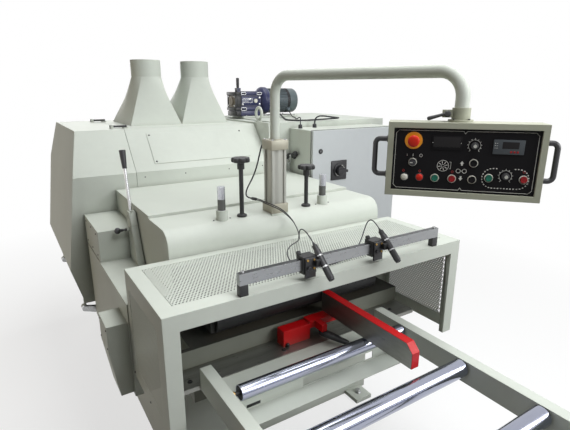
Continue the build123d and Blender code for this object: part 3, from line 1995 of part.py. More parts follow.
for dial_name, dial_place in dials.items():
    dial = control(
        dial_place,
        [
            (-dial_standoff - dial_height, -dial_standoff, dial_radius),
            (-dial_standoff, button_stem_length - button_standoff, button_stem_radius),
        ],
    )
    save(dial, dial_name)

stop_cap_rear = -stop_standoff - stop_neck_height
emergency_stop = control(
    stop_button_at,
    [
        (stop_cap_rear - stop_cap_height, stop_cap_rear, stop_cap_radius),
        (stop_cap_rear, -stop_standoff, stop_neck_radius),
        (-stop_standoff, button_stem_length - button_standoff, button_stem_radius),
    ],
)
save(emergency_stop, "emergency_stop")

# Selector switch with its bar grip
along, height = selector_at
with BuildPart(pendant_plane) as selector_switch:
    grip_front = panel_face - dial_standoff - selector_height - selector_grip_height
    grip_rear = panel_face - dial_standoff - selector_height
    for front, rear, radius in (
        (grip_rear, panel_face - dial_standoff, selector_radius),
        (panel_face - dial_standoff, panel_face + button_stem_length - button_standoff, button_stem_radius),
    ):
        with Locations(Location((along, (front + rear) / 2, height), (90, 0, 0))):
            Cylinder(radius, rear - front)
    span(
        along - selector_radius,
        along + selector_radius,
        grip_front,
        grip_rear,
        height - selector_grip_width / 2,
        height + selector_grip_width / 2,
    )
save(selector_switch, "selector_switch")


def cord(points, radius):
    """Round cord along a hand-laid route, with arcs as large as its runs allow."""
    route = [Vector(point) for point in points]
    runs = [after - before for before, after in zip(route, route[1:])]
    radii = []
    for before, after in zip(runs, runs[1:]):
        half_turn = math.radians(before.get_angle(after)) / 2
        radii.append(arc_share * min(before.length, after.length) / math.tan(half_turn))
    with BuildPart() as tube:
        with BuildLine() as line:
            FilletPolyline(*points, radius=radii)
        with BuildSketch(Plane(origin=points[0], z_dir=runs[0])):
            Circle(radius)
        sweep(path=line.wires()[0])
    length = line.wires()[0].length
    swept = tube.part.volume / (math.pi * radius**2 * length)
    print(f"cord length {length:.0f}, least arc {min(radii):.0f}, volume ratio {swept:.3f}")
    return tube.part


# Laser cable from the cylinder's top block down to its connector
laser_cable_points = [
    (-30, press_y + cylinder_block / 2, 1665),
    (-30, -870, 1665),
    (-31, -846, 1640),
    (-34, -832, 1600),
    (-46, -830, 1550),
    (-64, -829, 1500),
    (-84, -826, 1460),
    (-100, -822, 1432),
    (-116, -822, 1400),
    (-123, -846, 1378),
    (-111.6, -877, 1378),
]
connector_rear = Vector(laser_cable_points[-1])
connector_direction = (connector_rear - Vector(laser_cable_points[-2])).normalized()
connector_front = connector_rear + connector_direction * connector_length
with BuildPart() as connector:
    rod(connector_rear, connector_front, connector_radius)
cable_tube = cord(laser_cable_points, cable_radius)

# Laser leads from the tube tails to the connector
half_tube = laser_direction * (laser_tube_length / 2)
left_lead_end = connector_front + Vector(0, 0, lead_spread)
right_lead_end = connector_front - Vector(0, 0, lead_spread)
left_lead_points = [
    tuple(laser_centre(laser_left_x) - half_tube),
    tuple(laser_centre(laser_left_x) - half_tube - laser_direction * lead_in),
    (-169, -1462, 1362),
    (-158, -1414, 1362),
    (-138, -1366, 1338),
    (-110, -1322, 1302),
    (-80, -1276, 1268),
    (-46, -1228, 1244),
    (-10, -1176, 1238),
    (16, -1124, 1250),
    (20, -1080, 1282),
    (2, -1048, 1318),
    (-30, -1026, 1348),
    (-64, -1002, 1366),
    (-88, -966, 1376),
    tuple(left_lead_end + connector_direction * lead_in),
    tuple(left_lead_end),
]
right_lead_points = [
    tuple(laser_centre(laser_right_x) - half_tube),
    tuple(laser_centre(laser_right_x) - half_tube - laser_direction * lead_in),
    (193, -1462, 1362),
    (202, -1424, 1340),
    (208, -1402, 1298),
    (190, -1404, 1254),
    (150, -1424, 1222),
    (98, -1450, 1206),
    (40, -1468, 1201),
    (-20, -1478, 1199),
    (-82, -1482, 1201),
    (-142, -1482, 1204),
    (-198, -1476, 1216),
    (-232, -1446, 1236),
    (-226, -1400, 1254),
    (-190, -1356, 1262),
    (-140, -1312, 1258),
    (-90, -1270, 1246),
    (-40, -1222, 1238),
    (-4, -1170, 1232),
    (22, -1118, 1244),
    (26, -1074, 1276),
    (6, -1042, 1308),
    (-27, -1024, 1338),
    (-61, -1000, 1356),
    (-85, -962, 1368),
    tuple(right_lead_end + connector_direction * lead_in),
    tuple(right_lead_end),
]
lead_tubes = [cord(left_lead_points, lead_radius), cord(right_lead_points, lead_radius)]
laser_runs = [cable_tube, connector.part, *lead_tubes]
laser_wiring = Compound(children=[solid for run in laser_runs for solid in run.solids()])
laser_wiring.label = "laser_wiring"
export_step(laser_wiring, "parts/laser_wiring.step")

# Motor cables from the terminals over the drive housing to the cabinet glands
power_start = Vector(power_terminal_x, gear_y, gear_axis_z) + terminal_direction * terminal_reach
control_start = Vector(control_terminal_x, gear_y, gear_axis_z) + terminal_direction * terminal_reach
power_cable_points = [
    tuple(power_start),
    tuple(power_start + terminal_direction * lead_in),
    (918, 484, 1705),
    (894, 412, 1696.6),
    (846, 330, 1696.6),
    (800, 236, 1696.6),
    (748, 150, 1696.6),
    (744, 64, 1696.6),
    (788, 4, 1697),
    (872, -18, 1698),
    (966, -10, 1699),
    (1040, -8, 1701),
    (1096, -44, 1706),
    (1090, -100, 1712),
    (1036, -132, 1718),
    (970, -130, 1726),
    (920, -124, 1734),
    (877, -108.5, 1733),
    (*power_gland, 1708),
    (*power_gland, gland_top),
]
control_cable_points = [
    tuple(control_start),
    tuple(control_start + terminal_direction * lead_in),
    (1028, 486, 1702),
    (992, 404, 1695),
    (956, 310, 1695),
    (894, 226, 1695),
    (852, 130, 1699),
    (792, 52, 1708),
    (758, -32, 1722),
    (731, -86, 1726),
    (*control_gland, 1705),
    (*control_gland, gland_top),
]
motor_tubes = [
    cord(power_cable_points, motor_cable_radius),
    cord(control_cable_points, cable_radius),
]
motor_cables = Compound(children=[solid for tube in motor_tubes for solid in tube.solids()])
motor_cables.label = "motor_cables"
export_step(motor_cables, "parts/motor_cables.step")
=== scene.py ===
from math import copysign, cos, hypot, pi, radians, sin, sqrt

import bmesh
import bpy
from mathutils import Matrix, Vector


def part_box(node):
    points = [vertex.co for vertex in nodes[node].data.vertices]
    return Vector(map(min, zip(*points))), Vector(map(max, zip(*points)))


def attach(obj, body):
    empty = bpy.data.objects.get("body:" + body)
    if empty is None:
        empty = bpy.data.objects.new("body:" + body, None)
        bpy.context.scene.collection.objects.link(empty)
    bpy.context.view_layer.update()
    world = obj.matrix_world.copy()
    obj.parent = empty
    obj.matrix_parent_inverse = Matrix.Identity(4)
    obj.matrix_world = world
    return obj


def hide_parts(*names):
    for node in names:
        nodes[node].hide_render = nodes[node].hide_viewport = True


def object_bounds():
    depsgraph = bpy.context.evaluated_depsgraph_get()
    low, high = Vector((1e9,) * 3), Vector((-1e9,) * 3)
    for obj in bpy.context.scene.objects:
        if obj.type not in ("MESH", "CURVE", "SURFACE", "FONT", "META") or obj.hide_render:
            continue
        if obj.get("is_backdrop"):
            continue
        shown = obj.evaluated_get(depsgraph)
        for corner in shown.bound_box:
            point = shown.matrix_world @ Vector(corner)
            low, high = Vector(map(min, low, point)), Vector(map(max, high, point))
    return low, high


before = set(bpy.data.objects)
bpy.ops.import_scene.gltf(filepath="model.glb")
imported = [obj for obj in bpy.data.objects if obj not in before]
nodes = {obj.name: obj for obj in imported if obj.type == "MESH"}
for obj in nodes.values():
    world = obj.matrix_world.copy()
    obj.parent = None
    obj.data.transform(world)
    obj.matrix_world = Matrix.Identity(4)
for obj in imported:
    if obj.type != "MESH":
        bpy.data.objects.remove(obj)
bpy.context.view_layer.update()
scene = bpy.context.scene
scene.view_settings.view_transform = "Standard"

MM = 0.001
UP, RIGHT, LEFT, FRONT, BACK = (0, 0, 1), (1, 0, 0), (-1, 0, 0), (0, -1, 0), (0, 1, 0)

# Places that several pieces share, in millimetres
beam_y, beam_top = -947, 1311
post_x = (-314, 298)
cylinder_x, cylinder_top = -8, 1684
feed_plane = 830


# Mesh helpers, in millimetres in the machine's frame: they add to the mesh in work, which piece() takes and clears

work = bmesh.new()


def placed(origin, x, y, z):
    """Placement from its origin and axes."""
    return Matrix.Translation(Vector(origin)) @ Matrix((x, y, z)).transposed().to_4x4()


def aim(origin, along=UP, across=None):
    """Placement whose Z axis runs along a direction, upright where none is given."""
    z = Vector(along).normalized()
    x = Vector(across) if across else Vector(RIGHT if abs(z.x) < 0.9 else BACK)
    y = z.cross(x).normalized()
    return placed(origin, y.cross(z), y, z)


def spun(place, turn):
    """Placement turned about its own Z axis."""
    return place @ Matrix.Rotation(turn, 4, "Z")


def turns(count):
    """Equal steps round a circle, in radians."""
    return [2 * pi * i / count for i in range(count)]


def polar(radius, turn, centre=(0, 0)):
    """Point on a circle."""
    return centre[0] + radius * cos(turn), centre[1] + radius * sin(turn)


def arc(centre, radius, start, end, steps):
    """Points on an arc in a plane, angles in degrees."""
    return [polar(radius, radians(start + (end - start) * i / steps), centre) for i in range(steps + 1)]


def band(inner, outer, near, far):
    """Profile of a ring or, from radius 0, of a disc."""
    return [(inner, near), (outer, near), (outer, far), (inner, far)]


def lathe(profile, place, steps=28, ring=False):
    """Turned shape about the placement's Z axis through (radius, height) pairs, closed on itself as a ring."""
    rings = []
    for radius, height in profile:
        around = turns(steps) if radius else [0.0]
        rings.append([work.verts.new(place @ Vector((*polar(radius, turn), height))) for turn in around])
    if ring:
        rings.append(rings[0])
    for low, high in zip(rings, rings[1:]):
        for i in range(steps):
            j = (i + 1) % steps
            corners = [low[i % len(low)], low[j % len(low)], high[j % len(high)], high[i % len(high)]]
            corners = list(dict.fromkeys(corners))
            if len(corners) > 2:
                work.faces.new(corners)


def block(low, high, bevel=0.0, place=None, segments=2):
    """Box between two corners with rounded edges."""
    low, high = Vector(low), Vector(high)
    place = place or Matrix()
    made = bmesh.ops.create_cube(work, size=1.0)["verts"]
    for vert in made:
        vert.co = place @ Vector(((low[k] + high[k]) / 2 + vert.co[k] * (high[k] - low[k]) for k in range(3)))
    if bevel:
        edges = list({edge for vert in made for edge in vert.link_edges})
        bmesh.ops.bevel(work, geom=edges, offset=bevel, segments=segments, profile=0.5, affect="EDGES")


def prism(outline, depth, place):
    """Outline in the placement's XY plane, raised along its Z axis."""
    low = [work.verts.new(place @ Vector((x, y, 0))) for x, y in outline]
    high = [work.verts.new(place @ Vector((x, y, depth))) for x, y in outline]
    work.faces.new(low)
    work.faces.new(high)
    for i in range(len(outline)):
        j = (i + 1) % len(outline)
        work.faces.new((low[i], low[j], high[j], high[i]))


def skin(rings):
    """Faces between rings of as many corners each, closed at both ends."""
    for low, high in zip(rings, rings[1:]):
        for k in range(len(low)):
            m = (k + 1) % len(low)
            work.faces.new((low[k], low[m], high[m], high[k]))
    work.faces.new(rings[0])
    work.faces.new(rings[-1])


def tube(points, radii, steps):
    """Round bar through points, with a radius for each."""
    points = [Vector(p) for p in points]
    side = None
    rings = []
    for i, (point, radius) in enumerate(zip(points, radii)):
        ahead = points[min(i + 1, len(points) - 1)] - points[max(i - 1, 0)]
        ahead.normalize()
        if side is None:
            side = ahead.orthogonal().normalized()
        side = (side - ahead * side.dot(ahead)).normalized()
        other = ahead.cross(side)
        rings.append([
            work.verts.new(point + radius * (side * cos(turn) + other * sin(turn))) for turn in turns(steps)
        ])
    skin(rings)


def stroke(points, width, place, closed=False, lift=0.25):
    """Printed line: a flat ribbon through points in the placement's XY plane."""
    points = [Vector((x, y)) for x, y in points]
    count = len(points)
    sides = []
    for i, point in enumerate(points):
        before = points[i - 1] if closed or i else point
        after = points[(i + 1) % count] if closed or i < count - 1 else point
        into = (point - before).normalized() if point != before else (after - point).normalized()
        out = (after - point).normalized() if point != after else into
        mean = (into + out).normalized()
        normal = Vector((-mean.y, mean.x)) * (width / 2 / max(0.4, mean.dot(into)))
        sides.append([work.verts.new(place @ Vector((*(point + way * normal), lift))) for way in (1, -1)])
    for i in range(count if closed else count - 1):
        a, b = sides[i], sides[(i + 1) % count]
        work.faces.new((a[1], b[1], b[0], a[0]))


def patch(outline, place, lift=0.25):
    """Printed filled shape."""
    work.faces.new([work.verts.new(place @ Vector((x, y, lift))) for x, y in outline])


def socket_screw(place, radius, height):
    """Socket head screw standing on the placement."""
    lathe([
        (0, height * 0.45), (radius * 0.5, height * 0.45), (radius * 0.5, height), (radius * 0.9, height),
        (radius, height * 0.88), (radius, 0), (0, 0),
    ], place, 20)


def round_screw(place, radius, height):
    """Round head screw with a dished recess."""
    lathe([
        (0, height * 0.7), (radius * 0.22, height * 0.72), (radius * 0.3, height), (radius * 0.62, height * 0.86),
        (radius * 0.9, height * 0.45), (radius, 0), (0, 0),
    ], place, 16)


def hex_bolt(place, across, height):
    """Hexagon bolt head on a washer."""
    lathe(band(0, across * 0.68, 0, height * 0.22), place, 20)
    prism(arc((0, 0), across * 0.577, 0, 300, 5), height, place)
    lathe([(0, height * 1.06), (across * 0.42, height * 1.06), (across * 0.5, height * 0.98)], place, 20)


def shown(made, finish, body, node=None):
    """Object with its finish that rides on a body, and may stand for a CAD node."""
    made.data.materials.append(finishes[finish])
    scene.collection.objects.link(made)
    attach(made, body)
    if node:
        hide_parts(node)
    return made


def piece(name, finish, body="machine", node=None, angle=32):
    """Piece made of the mesh in work, with edges sharper than the angle left sharp."""
    bmesh.ops.recalc_face_normals(work, faces=work.faces)
    bmesh.ops.scale(work, vec=(MM, MM, MM), verts=work.verts)
    mesh = bpy.data.meshes.new(name)
    work.to_mesh(mesh)
    work.clear()
    mesh.polygons.foreach_set("use_smooth", [True] * len(mesh.polygons))
    mesh.set_sharp_from_angle(angle=radians(angle))
    return shown(bpy.data.objects.new(name, mesh), finish, body, node)


def turned(name, profile, place, steps, finish, body, node=None, ring=False):
    """Piece of one turned shape."""
    lathe(profile, place, steps, ring)
    return piece(name, finish, body, node)


# Finishes

finishes, slot_of = {}, {}


def linear(red, green, blue):
    """Colour from its 0-255 screen values."""
    return [((c / 255 + 0.055) / 1.055) ** 2.4 if c > 10 else c / 255 / 12.92 for c in (red, green, blue)]


def fill(tree, target, inputs):
    """Puts a value or another node's output into each named input of a shader node."""
    for socket, value in inputs.items():
        if isinstance(value, bpy.types.NodeSocket):
            tree.links.new(value, target.inputs[socket])
        else:
            target.inputs[socket].default_value = value


def add_node(tree, kind, inputs, **settings):
    """Outputs of a new shader node."""
    made = tree.nodes.new("ShaderNode" + kind)
    for key, value in settings.items():
        setattr(made, key, value)
    fill(tree, made, inputs)
    return made.outputs


def ranged(tree, value, low, high, to_low, to_high):
    """Value brought from one range to another."""
    inputs = {"Value": value, "From Min": low, "From Max": high, "To Min": to_low, "To Max": to_high}
    return add_node(tree, "MapRange", inputs)["Result"]


def blended(tree, factor, first, second, kind="MIX"):
    """Mix of two colours."""
    first, second = ((*value, 1) if isinstance(value, list) else value for value in (first, second))
    return add_node(tree, "Mix", {0: factor, 6: first, 7: second}, data_type="RGBA", blend_type=kind)[2]


def surface(
    name, slot, colour, rough, metal, mottle, mottle_scale, grain, grain_scale, stretch=(1, 1, 1), swing=0.06, edge=0.0,
    wear=0.0, wear_colour=None, crevice_dust_and_shade=0.0, coat=0.0, gloss=0.5, top_colour=None,
):
    """Procedural finish: clouded colour, fine grain in bump, varied roughness, rounded and worn edges, dust and painted
    shade in hollows.
    """
    material = bpy.data.materials.new(name)
    finishes[name], slot_of[name] = material, slot
    material.use_nodes = True
    tree = material.node_tree
    where = add_node(tree, "TexCoord", {})["Object"]
    scaled = add_node(tree, "Mapping", {"Vector": where, "Scale": stretch})["Vector"]
    cloud, fine, middle = (
        add_node(tree, "TexNoise", {"Vector": scaled, "Scale": scale, "Detail": detail, "Roughness": roughness})["Fac"]
        for scale, detail, roughness in (
            (mottle_scale, 6.0, 0.62), (grain_scale, 2.0, 0.5), (mottle_scale * 9, 4.0, 0.6),
        )
    )
    tone = linear(*colour)
    dark, pale = [c * (1 - mottle) for c in tone], [min(1.0, c * (1 + mottle * 0.6)) for c in tone]
    shaded = blended(tree, ranged(tree, cloud, 0.3, 0.7, 0.0, 1.0), dark, pale)
    speck = ranged(tree, middle, 0.25, 0.75, 1 - mottle * 0.6, 1 + mottle * 0.35)
    if top_colour:
        facing = add_node(tree, "NewGeometry", {})["Normal"]
        level = add_node(tree, "SeparateXYZ", {0: facing})["Z"]
        shaded = blended(tree, ranged(tree, level, 0.9, 0.98, 0.0, 1.0), shaded, linear(*top_colour))
    spread = add_node(tree, "CombineColor", {0: speck, 1: speck, 2: speck})[0]
    shaded = blended(tree, 1.0, shaded, spread, "MULTIPLY")
    bump = {"Strength": grain, "Distance": 0.0006, "Height": fine}
    if edge:
        bump["Normal"] = rounded = add_node(tree, "Bevel", {"Radius": edge}, samples=6)["Normal"]
        if wear:
            flat = add_node(tree, "NewGeometry", {})["Normal"]
            level = add_node(tree, "VectorMath", {0: rounded, 1: flat}, operation="DOT_PRODUCT")["Value"]
            rim = ranged(tree, level, 0.80, 0.99, wear, 0.0)
            worn = ranged(tree, middle, 0.42, 0.62, 0.0, 1.0)
            patchy = add_node(tree, "Math", {0: rim, 1: worn}, operation="MULTIPLY")[0]
            shaded = blended(tree, patchy, shaded, linear(*wear_colour))
    # Hollows found by ambient occlusion darken towards a dusty brown: dust, and painted shade in creases and where
    # parts meet.
    if crevice_dust_and_shade:
        occluded_shade = add_node(tree, "AmbientOcclusion", {"Distance": 0.05}, samples=6)["AO"]
        shade_dust_colour = [c * 0.42 for c in linear(150, 140, 118)]
        shaded = blended(tree, ranged(tree, occluded_shade, 0.25, 0.85, crevice_dust_and_shade, 0.0), shaded, shade_dust_colour)
    fill(tree, tree.nodes["Principled BSDF"], {
        "Metallic": metal, "Specular IOR Level": gloss, "Coat Weight": coat, "Coat Roughness": 0.12,
        "Base Color": shaded, "Normal": add_node(tree, "Bump", bump)["Normal"],
        "Roughness": ranged(tree, middle, 0.25, 0.75, max(0.02, rough - swing), min(1.0, rough + swing)),
    })


# Name, the record's slot, colour, roughness, metal, mottle and its scale, grain and its scale, and what else it has
surface("machine_paint", "paint", (208, 213, 204), 0.52, 0, 0.035, 2.5, 0.10, 520, edge=0.003, wear=0.25,
        wear_colour=(228, 229, 222), crevice_dust_and_shade=0.40, gloss=0.22)
# The bed's paint is the machine paint darkened: painted shade for the bed bar in the guard's shadow. Its up-facing
# faces take a darker grey.
surface("bed_paint_darkened_for_shade", "paint", (126, 128, 118), 0.52, 0, 0.06, 2.5, 0.12, 420, edge=0.002, crevice_dust_and_shade=0.40, gloss=0.22,
        top_colour=(58, 58, 54))
# The door's paint is the machine paint tinted cooler, with a stronger grain of its own: the cool tint is painted light
# for the light on the cabinet front.
surface("cabinet_paint", "paint", (205, 209, 211), 0.55, 0, 0.03, 2.5, 0.22, 380, edge=0.003, crevice_dust_and_shade=0.4, gloss=0.22)
surface("ground_steel", "steel", (144, 145, 140), 0.36, 0.85, 0.22, 5, 0.12, 260, (0.35, 3.5, 1), 0.12, 0.001,
        crevice_dust_and_shade=0.35)
surface("bar_steel", "steel", (158, 160, 162), 0.32, 0.8, 0.10, 5, 0.08, 300, (0.5, 1, 2), 0.10, 0.001, crevice_dust_and_shade=0.2,
        top_colour=(66, 68, 70))
surface("fence_steel", "steel", (140, 141, 136), 0.36, 0.8, 0.20, 6, 0.10, 300, (1, 0.4, 2), 0.1, 0.001)
surface("hard_chrome", "chrome", (166, 170, 186), 0.14, 1, 0.05, 4, 0.01, 200, (0.6, 4, 4), 0.03, 0.001)
surface("anodised_tan", "cylinder", (170, 166, 150), 0.42, 0.2, 0.05, 6, 0.06, 300, (4, 4, 0.5), edge=0.0015, crevice_dust_and_shade=0.4)
surface("black_oxide", "black_metal", (40, 40, 41), 0.46, 0.2, 0.22, 14, 0.12, 320, swing=0.1, edge=0.0012, wear=0.35,
        wear_colour=(120, 120, 120))
surface("black_plastic", "black_plastic", (30, 30, 33), 0.40, 0, 0.15, 20, 0.16, 700, swing=0.08, edge=0.001)
surface("red_enamel", "red_paint", (200, 8, 16), 0.38, 0, 0.08, 8, 0.06, 360, edge=0.002, wear=0.10,
        wear_colour=(214, 60, 56), crevice_dust_and_shade=0.40, gloss=0.35)
surface("navy_enamel", "navy_paint", (26, 32, 76), 0.38, 0, 0.12, 9, 0.14, 300, edge=0.0025, wear=0.25,
        wear_colour=(86, 96, 130), crevice_dust_and_shade=0.3)
surface("motor_enamel", "motor_paint", (84, 97, 104), 0.40, 0.1, 0.08, 9, 0.10, 320, edge=0.0015, crevice_dust_and_shade=0.4)
surface("cowl_enamel", "motor_paint", (90, 101, 104), 0.34, 0.15, 0.06, 9, 0.08, 320, edge=0.0015, crevice_dust_and_shade=0.3)
surface("cast_iron", "steel", (98, 99, 97), 0.55, 0.6, 0.18, 16, 0.35, 240, edge=0.0015)
surface("cable_rubber", "rubber", (36, 36, 40), 0.55, 0, 0.12, 22, 0.12, 600, swing=0.08)
surface("red_plastic", "red_plastic", (206, 38, 18), 0.40, 0, 0.05, 24, 0.05, 700, edge=0.0008, gloss=0.3)
surface("dark_red_plastic", "red_plastic", (150, 14, 22), 0.36, 0, 0.08, 24, 0.05, 700, edge=0.0008, gloss=0.3)
surface("green_plastic", "green_plastic", (12, 102, 82), 0.36, 0, 0.06, 24, 0.05, 700, edge=0.0008, gloss=0.3)
surface("white_plastic", "white_plastic", (222, 220, 208), 0.32, 0, 0.04, 24, 0.05, 700, edge=0.0008)
surface("yellow_plastic", "red_plastic", (240, 158, 18), 0.34, 0, 0.06, 24, 0.06, 700, edge=0.0008)
surface("panel_film", "black_plastic", (15, 14, 16), 0.62, 0, 0.20, 12, 0.10, 900, gloss=0.1)
surface("printed_white", "white_plastic", (222, 222, 216), 0.5, 0, 0.05, 40, 0.04, 900)
surface("printed_red", "red_plastic", (176, 42, 40), 0.5, 0, 0.08, 40, 0.04, 900)
surface("meter_shell", "black_plastic", (42, 49, 54), 0.46, 0, 0.10, 24, 0.10, 700, edge=0.001)
surface("meter_window", "panel", (10, 7, 9), 0.34, 0, 0.2, 24, 0.01, 500, swing=0.03, gloss=0.2)
surface("brass", "steel", (186, 150, 84), 0.32, 0.9, 0.12, 30, 0.08, 400, edge=0.0006)
surface("bright_steel", "steel", (186, 187, 188), 0.28, 0.95, 0.12, 26, 0.06, 400, edge=0.0008)
surface("rod_steel", "steel", (186, 188, 194), 0.28, 1, 0.06, 10, 0.05, 260, (6, 6, 0.4), 0.08, 0.001)
surface("pendant_frame_paint", "paint", (176, 178, 160), 0.50, 0, 0.05, 2.5, 0.10, 520, edge=0.002, crevice_dust_and_shade=0.40,
        gloss=0.2)
surface("waist_iron", "iron", (122, 112, 98), 0.50, 0.4, 0.16, 14, 0.30, 240, edge=0.0015, crevice_dust_and_shade=0.3)
surface("barrel_metal", "cylinder", (176, 176, 169), 0.40, 0.25, 0.05, 6, 0.05, 300, (4, 4, 0.5), edge=0.001, crevice_dust_and_shade=0.3)
# Dark iron on the press frame, kept near black as painted shade for the dim interior under the guard.
surface("press_iron_darkened_for_shade", "iron", (52, 52, 50), 0.55, 0.4, 0.18, 12, 0.30, 240, edge=0.0015)
surface("lens_glass", "red_plastic", (46, 10, 14), 0.08, 0, 0.1, 40, 0.01, 300, swing=0.03, coat=0.5)

for finish, names in {
    "machine_paint": "base_pedestal side_frames infeed_frame hood_shell left_dust_chute right_dust_chute end_cover "
    "beam_cover drive_housing pendant_arm eye_bolt cabinet_body",
    "pendant_frame_paint": "pendant_box",
    "bed_paint_darkened_for_shade": "bed_table",
    "press_iron_darkened_for_shade": "press_frame",
    "rod_steel": "press_rods",
    "cabinet_paint": "cabinet_door",
    "ground_steel": "bed_plate",
    "bar_steel": "laser_bar saw_blades arbor_shaft",
    "fence_steel": "fence",
    "black_oxide": "upper_feed_roller latch_front latch_rear laser_left laser_right",
    "bright_steel": "cover_hinges",
    "black_plastic": "lock_knob main_switch selector_switch",
    "red_enamel": "fence_bracket",
    "navy_enamel": "feed_gearbox",
    "motor_enamel": "main_motor",
    "cast_iron": "arbor_bearings",
    "panel_film": "pendant_panel",
}.items():
    for node_name in names.split():
        for slot in nodes[node_name].material_slots:
            slot.material = finishes[finish]


# Camera at the photograph's place: 570 x 430 picture, 28.29 mm lens on a 36 mm wide frame

focal_pixels, picture_width, sensor_width = 447.866, 570, 36.0
across_angle, down_angle, roll_angle = (radians(a) for a in (32.317, 15.731, -0.1126))
look = Vector((
    sin(across_angle) * cos(down_angle), cos(across_angle) * cos(down_angle), -sin(down_angle),
))
right = look.cross(Vector(UP)).normalized()
down = look.cross(right)
camera_x = right * cos(roll_angle) + down * sin(roll_angle)
camera_y = right * sin(roll_angle) - down * cos(roll_angle)
camera_data = bpy.data.cameras.new("camera")
camera_data.sensor_fit = "HORIZONTAL"
camera_data.sensor_width = sensor_width
camera_data.lens = focal_pixels / picture_width * sensor_width
camera_data.clip_end = 60.0
camera = bpy.data.objects.new("camera", camera_data)
camera.matrix_world = placed((-1.183, -2.900, 1.930), camera_x, camera_y, -look)
scene.collection.objects.link(camera)
scene.camera = camera


# Cords: the points of their routes are the control points of smooth splines

def cord(name, node, points, diameter):
    """Free cord along its route."""
    points = [tuple(round(c * MM, 7) for c in point) for point in points]
    curve = bpy.data.curves.new(name, "CURVE")
    curve.dimensions = "3D"
    spline = curve.splines.new("NURBS")
    spline.points.add(len(points) - 1)
    for target, point in zip(spline.points, points):
        target.co = (*point, 1.0)
    spline.order_u = 3
    spline.use_endpoint_u = True
    curve.resolution_u = 10
    curve.bevel_depth = diameter / 2
    curve.bevel_resolution = 5
    curve.use_fill_caps = True
    made = shown(bpy.data.objects.new(name, curve), "cable_rubber", "machine", node=node)


def boot(start, along, wide, narrow, length):
    """Tapered strain relief with rings."""
    profile = [(0, 0), (wide, 0), (wide, length * 0.18)]
    rings = 5
    for i in range(rings):
        near = length * (0.18 + 0.82 * i / rings)
        far = length * (0.18 + 0.82 * (i + 0.6) / rings)
        radius = wide + (narrow - wide) * (i + 0.5) / rings
        profile += [(radius * 0.86, near), (radius, near + 0.4), (radius, far), (radius * 0.86, far + 0.4)]
    profile += [(narrow, length), (0, length)]
    lathe(profile, aim(start, along), 20)


connector = turned("laser_connector", [
    (0, 0), (5.6, 0), (6.2, 1), (6.2, 6), (8, 7), (8, 12), (7.4, 12.6), (7.4, 14), (8, 14.6), (8, 17), (7.2, 17.6),
    (7.2, 19), (8, 19.6), (8, 30), (7.2, 33), (6.4, 34), (0, 34),
], aim((-111.6, -877, 1378), (0.345, -0.939, 0)), 28, "black_plastic", "machine")
cord("laser_cable_cord", "laser_wiring", [
    (-30, -898, 1665), (-30, -870, 1665), (-31, -846, 1640), (-34, -832, 1600), (-46, -830, 1550), (-64, -829, 1500),
    (-84, -826, 1460), (-100, -822, 1432), (-116, -822, 1400), (-123, -846, 1378), (-111.6, -877, 1378),
], 0.008)
cord("laser_lead_left", "laser_wiring", [
    (-172, -1524.3, 1322.9), (-172, -1504.2, 1340.9), (-169, -1462, 1362), (-158, -1414, 1362), (-138, -1366, 1338),
    (-110, -1322, 1302), (-80, -1276, 1268), (-46, -1228, 1244), (-10, -1176, 1238), (16, -1124, 1250),
    (20, -1080, 1282), (2, -1048, 1318), (-30, -1026, 1348), (-64, -1002, 1366), (-88, -966, 1376),
    (-90.6, -934.3, 1381.2), (-99.9, -908.9, 1381.2),
], 0.005)
cord("laser_lead_right", "laser_wiring", [
    (190, -1524.3, 1322.9), (190, -1504.2, 1340.9), (193, -1462, 1362), (202, -1424, 1340), (208, -1402, 1298),
    (190, -1404, 1254), (150, -1424, 1222), (98, -1450, 1206), (40, -1468, 1201), (-20, -1478, 1199),
    (-82, -1482, 1201), (-142, -1482, 1204), (-198, -1476, 1216), (-232, -1446, 1236), (-226, -1400, 1254),
    (-190, -1356, 1262), (-140, -1312, 1258), (-90, -1270, 1246), (-40, -1222, 1238), (-4, -1170, 1232),
    (22, -1118, 1244), (26, -1074, 1276), (6, -1042, 1308), (-27, -1024, 1338), (-61, -1000, 1356),
    (-85, -962, 1368), (-90.6, -934.3, 1374.8), (-99.9, -908.9, 1374.8),
], 0.005)
cord("motor_power_cable", "motor_cables", [
    (930, 550.2, 1740.2), (930, 531.1, 1721.1), (918, 484, 1705), (894, 412, 1696.6), (846, 330, 1696.6),
    (800, 236, 1696.6), (748, 150, 1696.6), (744, 64, 1696.6), (788, 4, 1697), (872, -18, 1698), (966, -10, 1699),
    (1040, -8, 1701), (1096, -44, 1706), (1090, -100, 1712), (1036, -132, 1718), (970, -130, 1726),
    (920, -124, 1734), (877, -108.5, 1733), (852, -100, 1708), (852, -100, 1672),
], 0.012)
cord("motor_control_cable", "motor_cables", [
    (1040, 550.2, 1740.2), (1040, 531.1, 1721.1), (1028, 486, 1702), (992, 404, 1695), (956, 310, 1695),
    (894, 226, 1695), (852, 130, 1699), (792, 52, 1708), (758, -32, 1722), (731, -86, 1726), (715, -110, 1705),
    (715, -110, 1672),
], 0.008)

boot((-30, -898, 1665), BACK, 9, 4.9, 24)
for gland_x, gland_y, bore in ((852, -100, 6.9), (715, -110, 4.9)):
    gland = aim((gland_x, gland_y, 1648))
    prism(arc((0, 0), 17.5, 0, 300, 5), 9, gland)
    lathe([(0, 8), (14, 8), (14, 11), (15.5, 12), (15.5, 20), (14.4, 24.6), (11, 28), (bore, 30), (0, 30)], gland, 24)
piece("cable_glands", "black_plastic")


# Perforated infeed guard: the folded frame of the solid, with drilled sheets in its windows

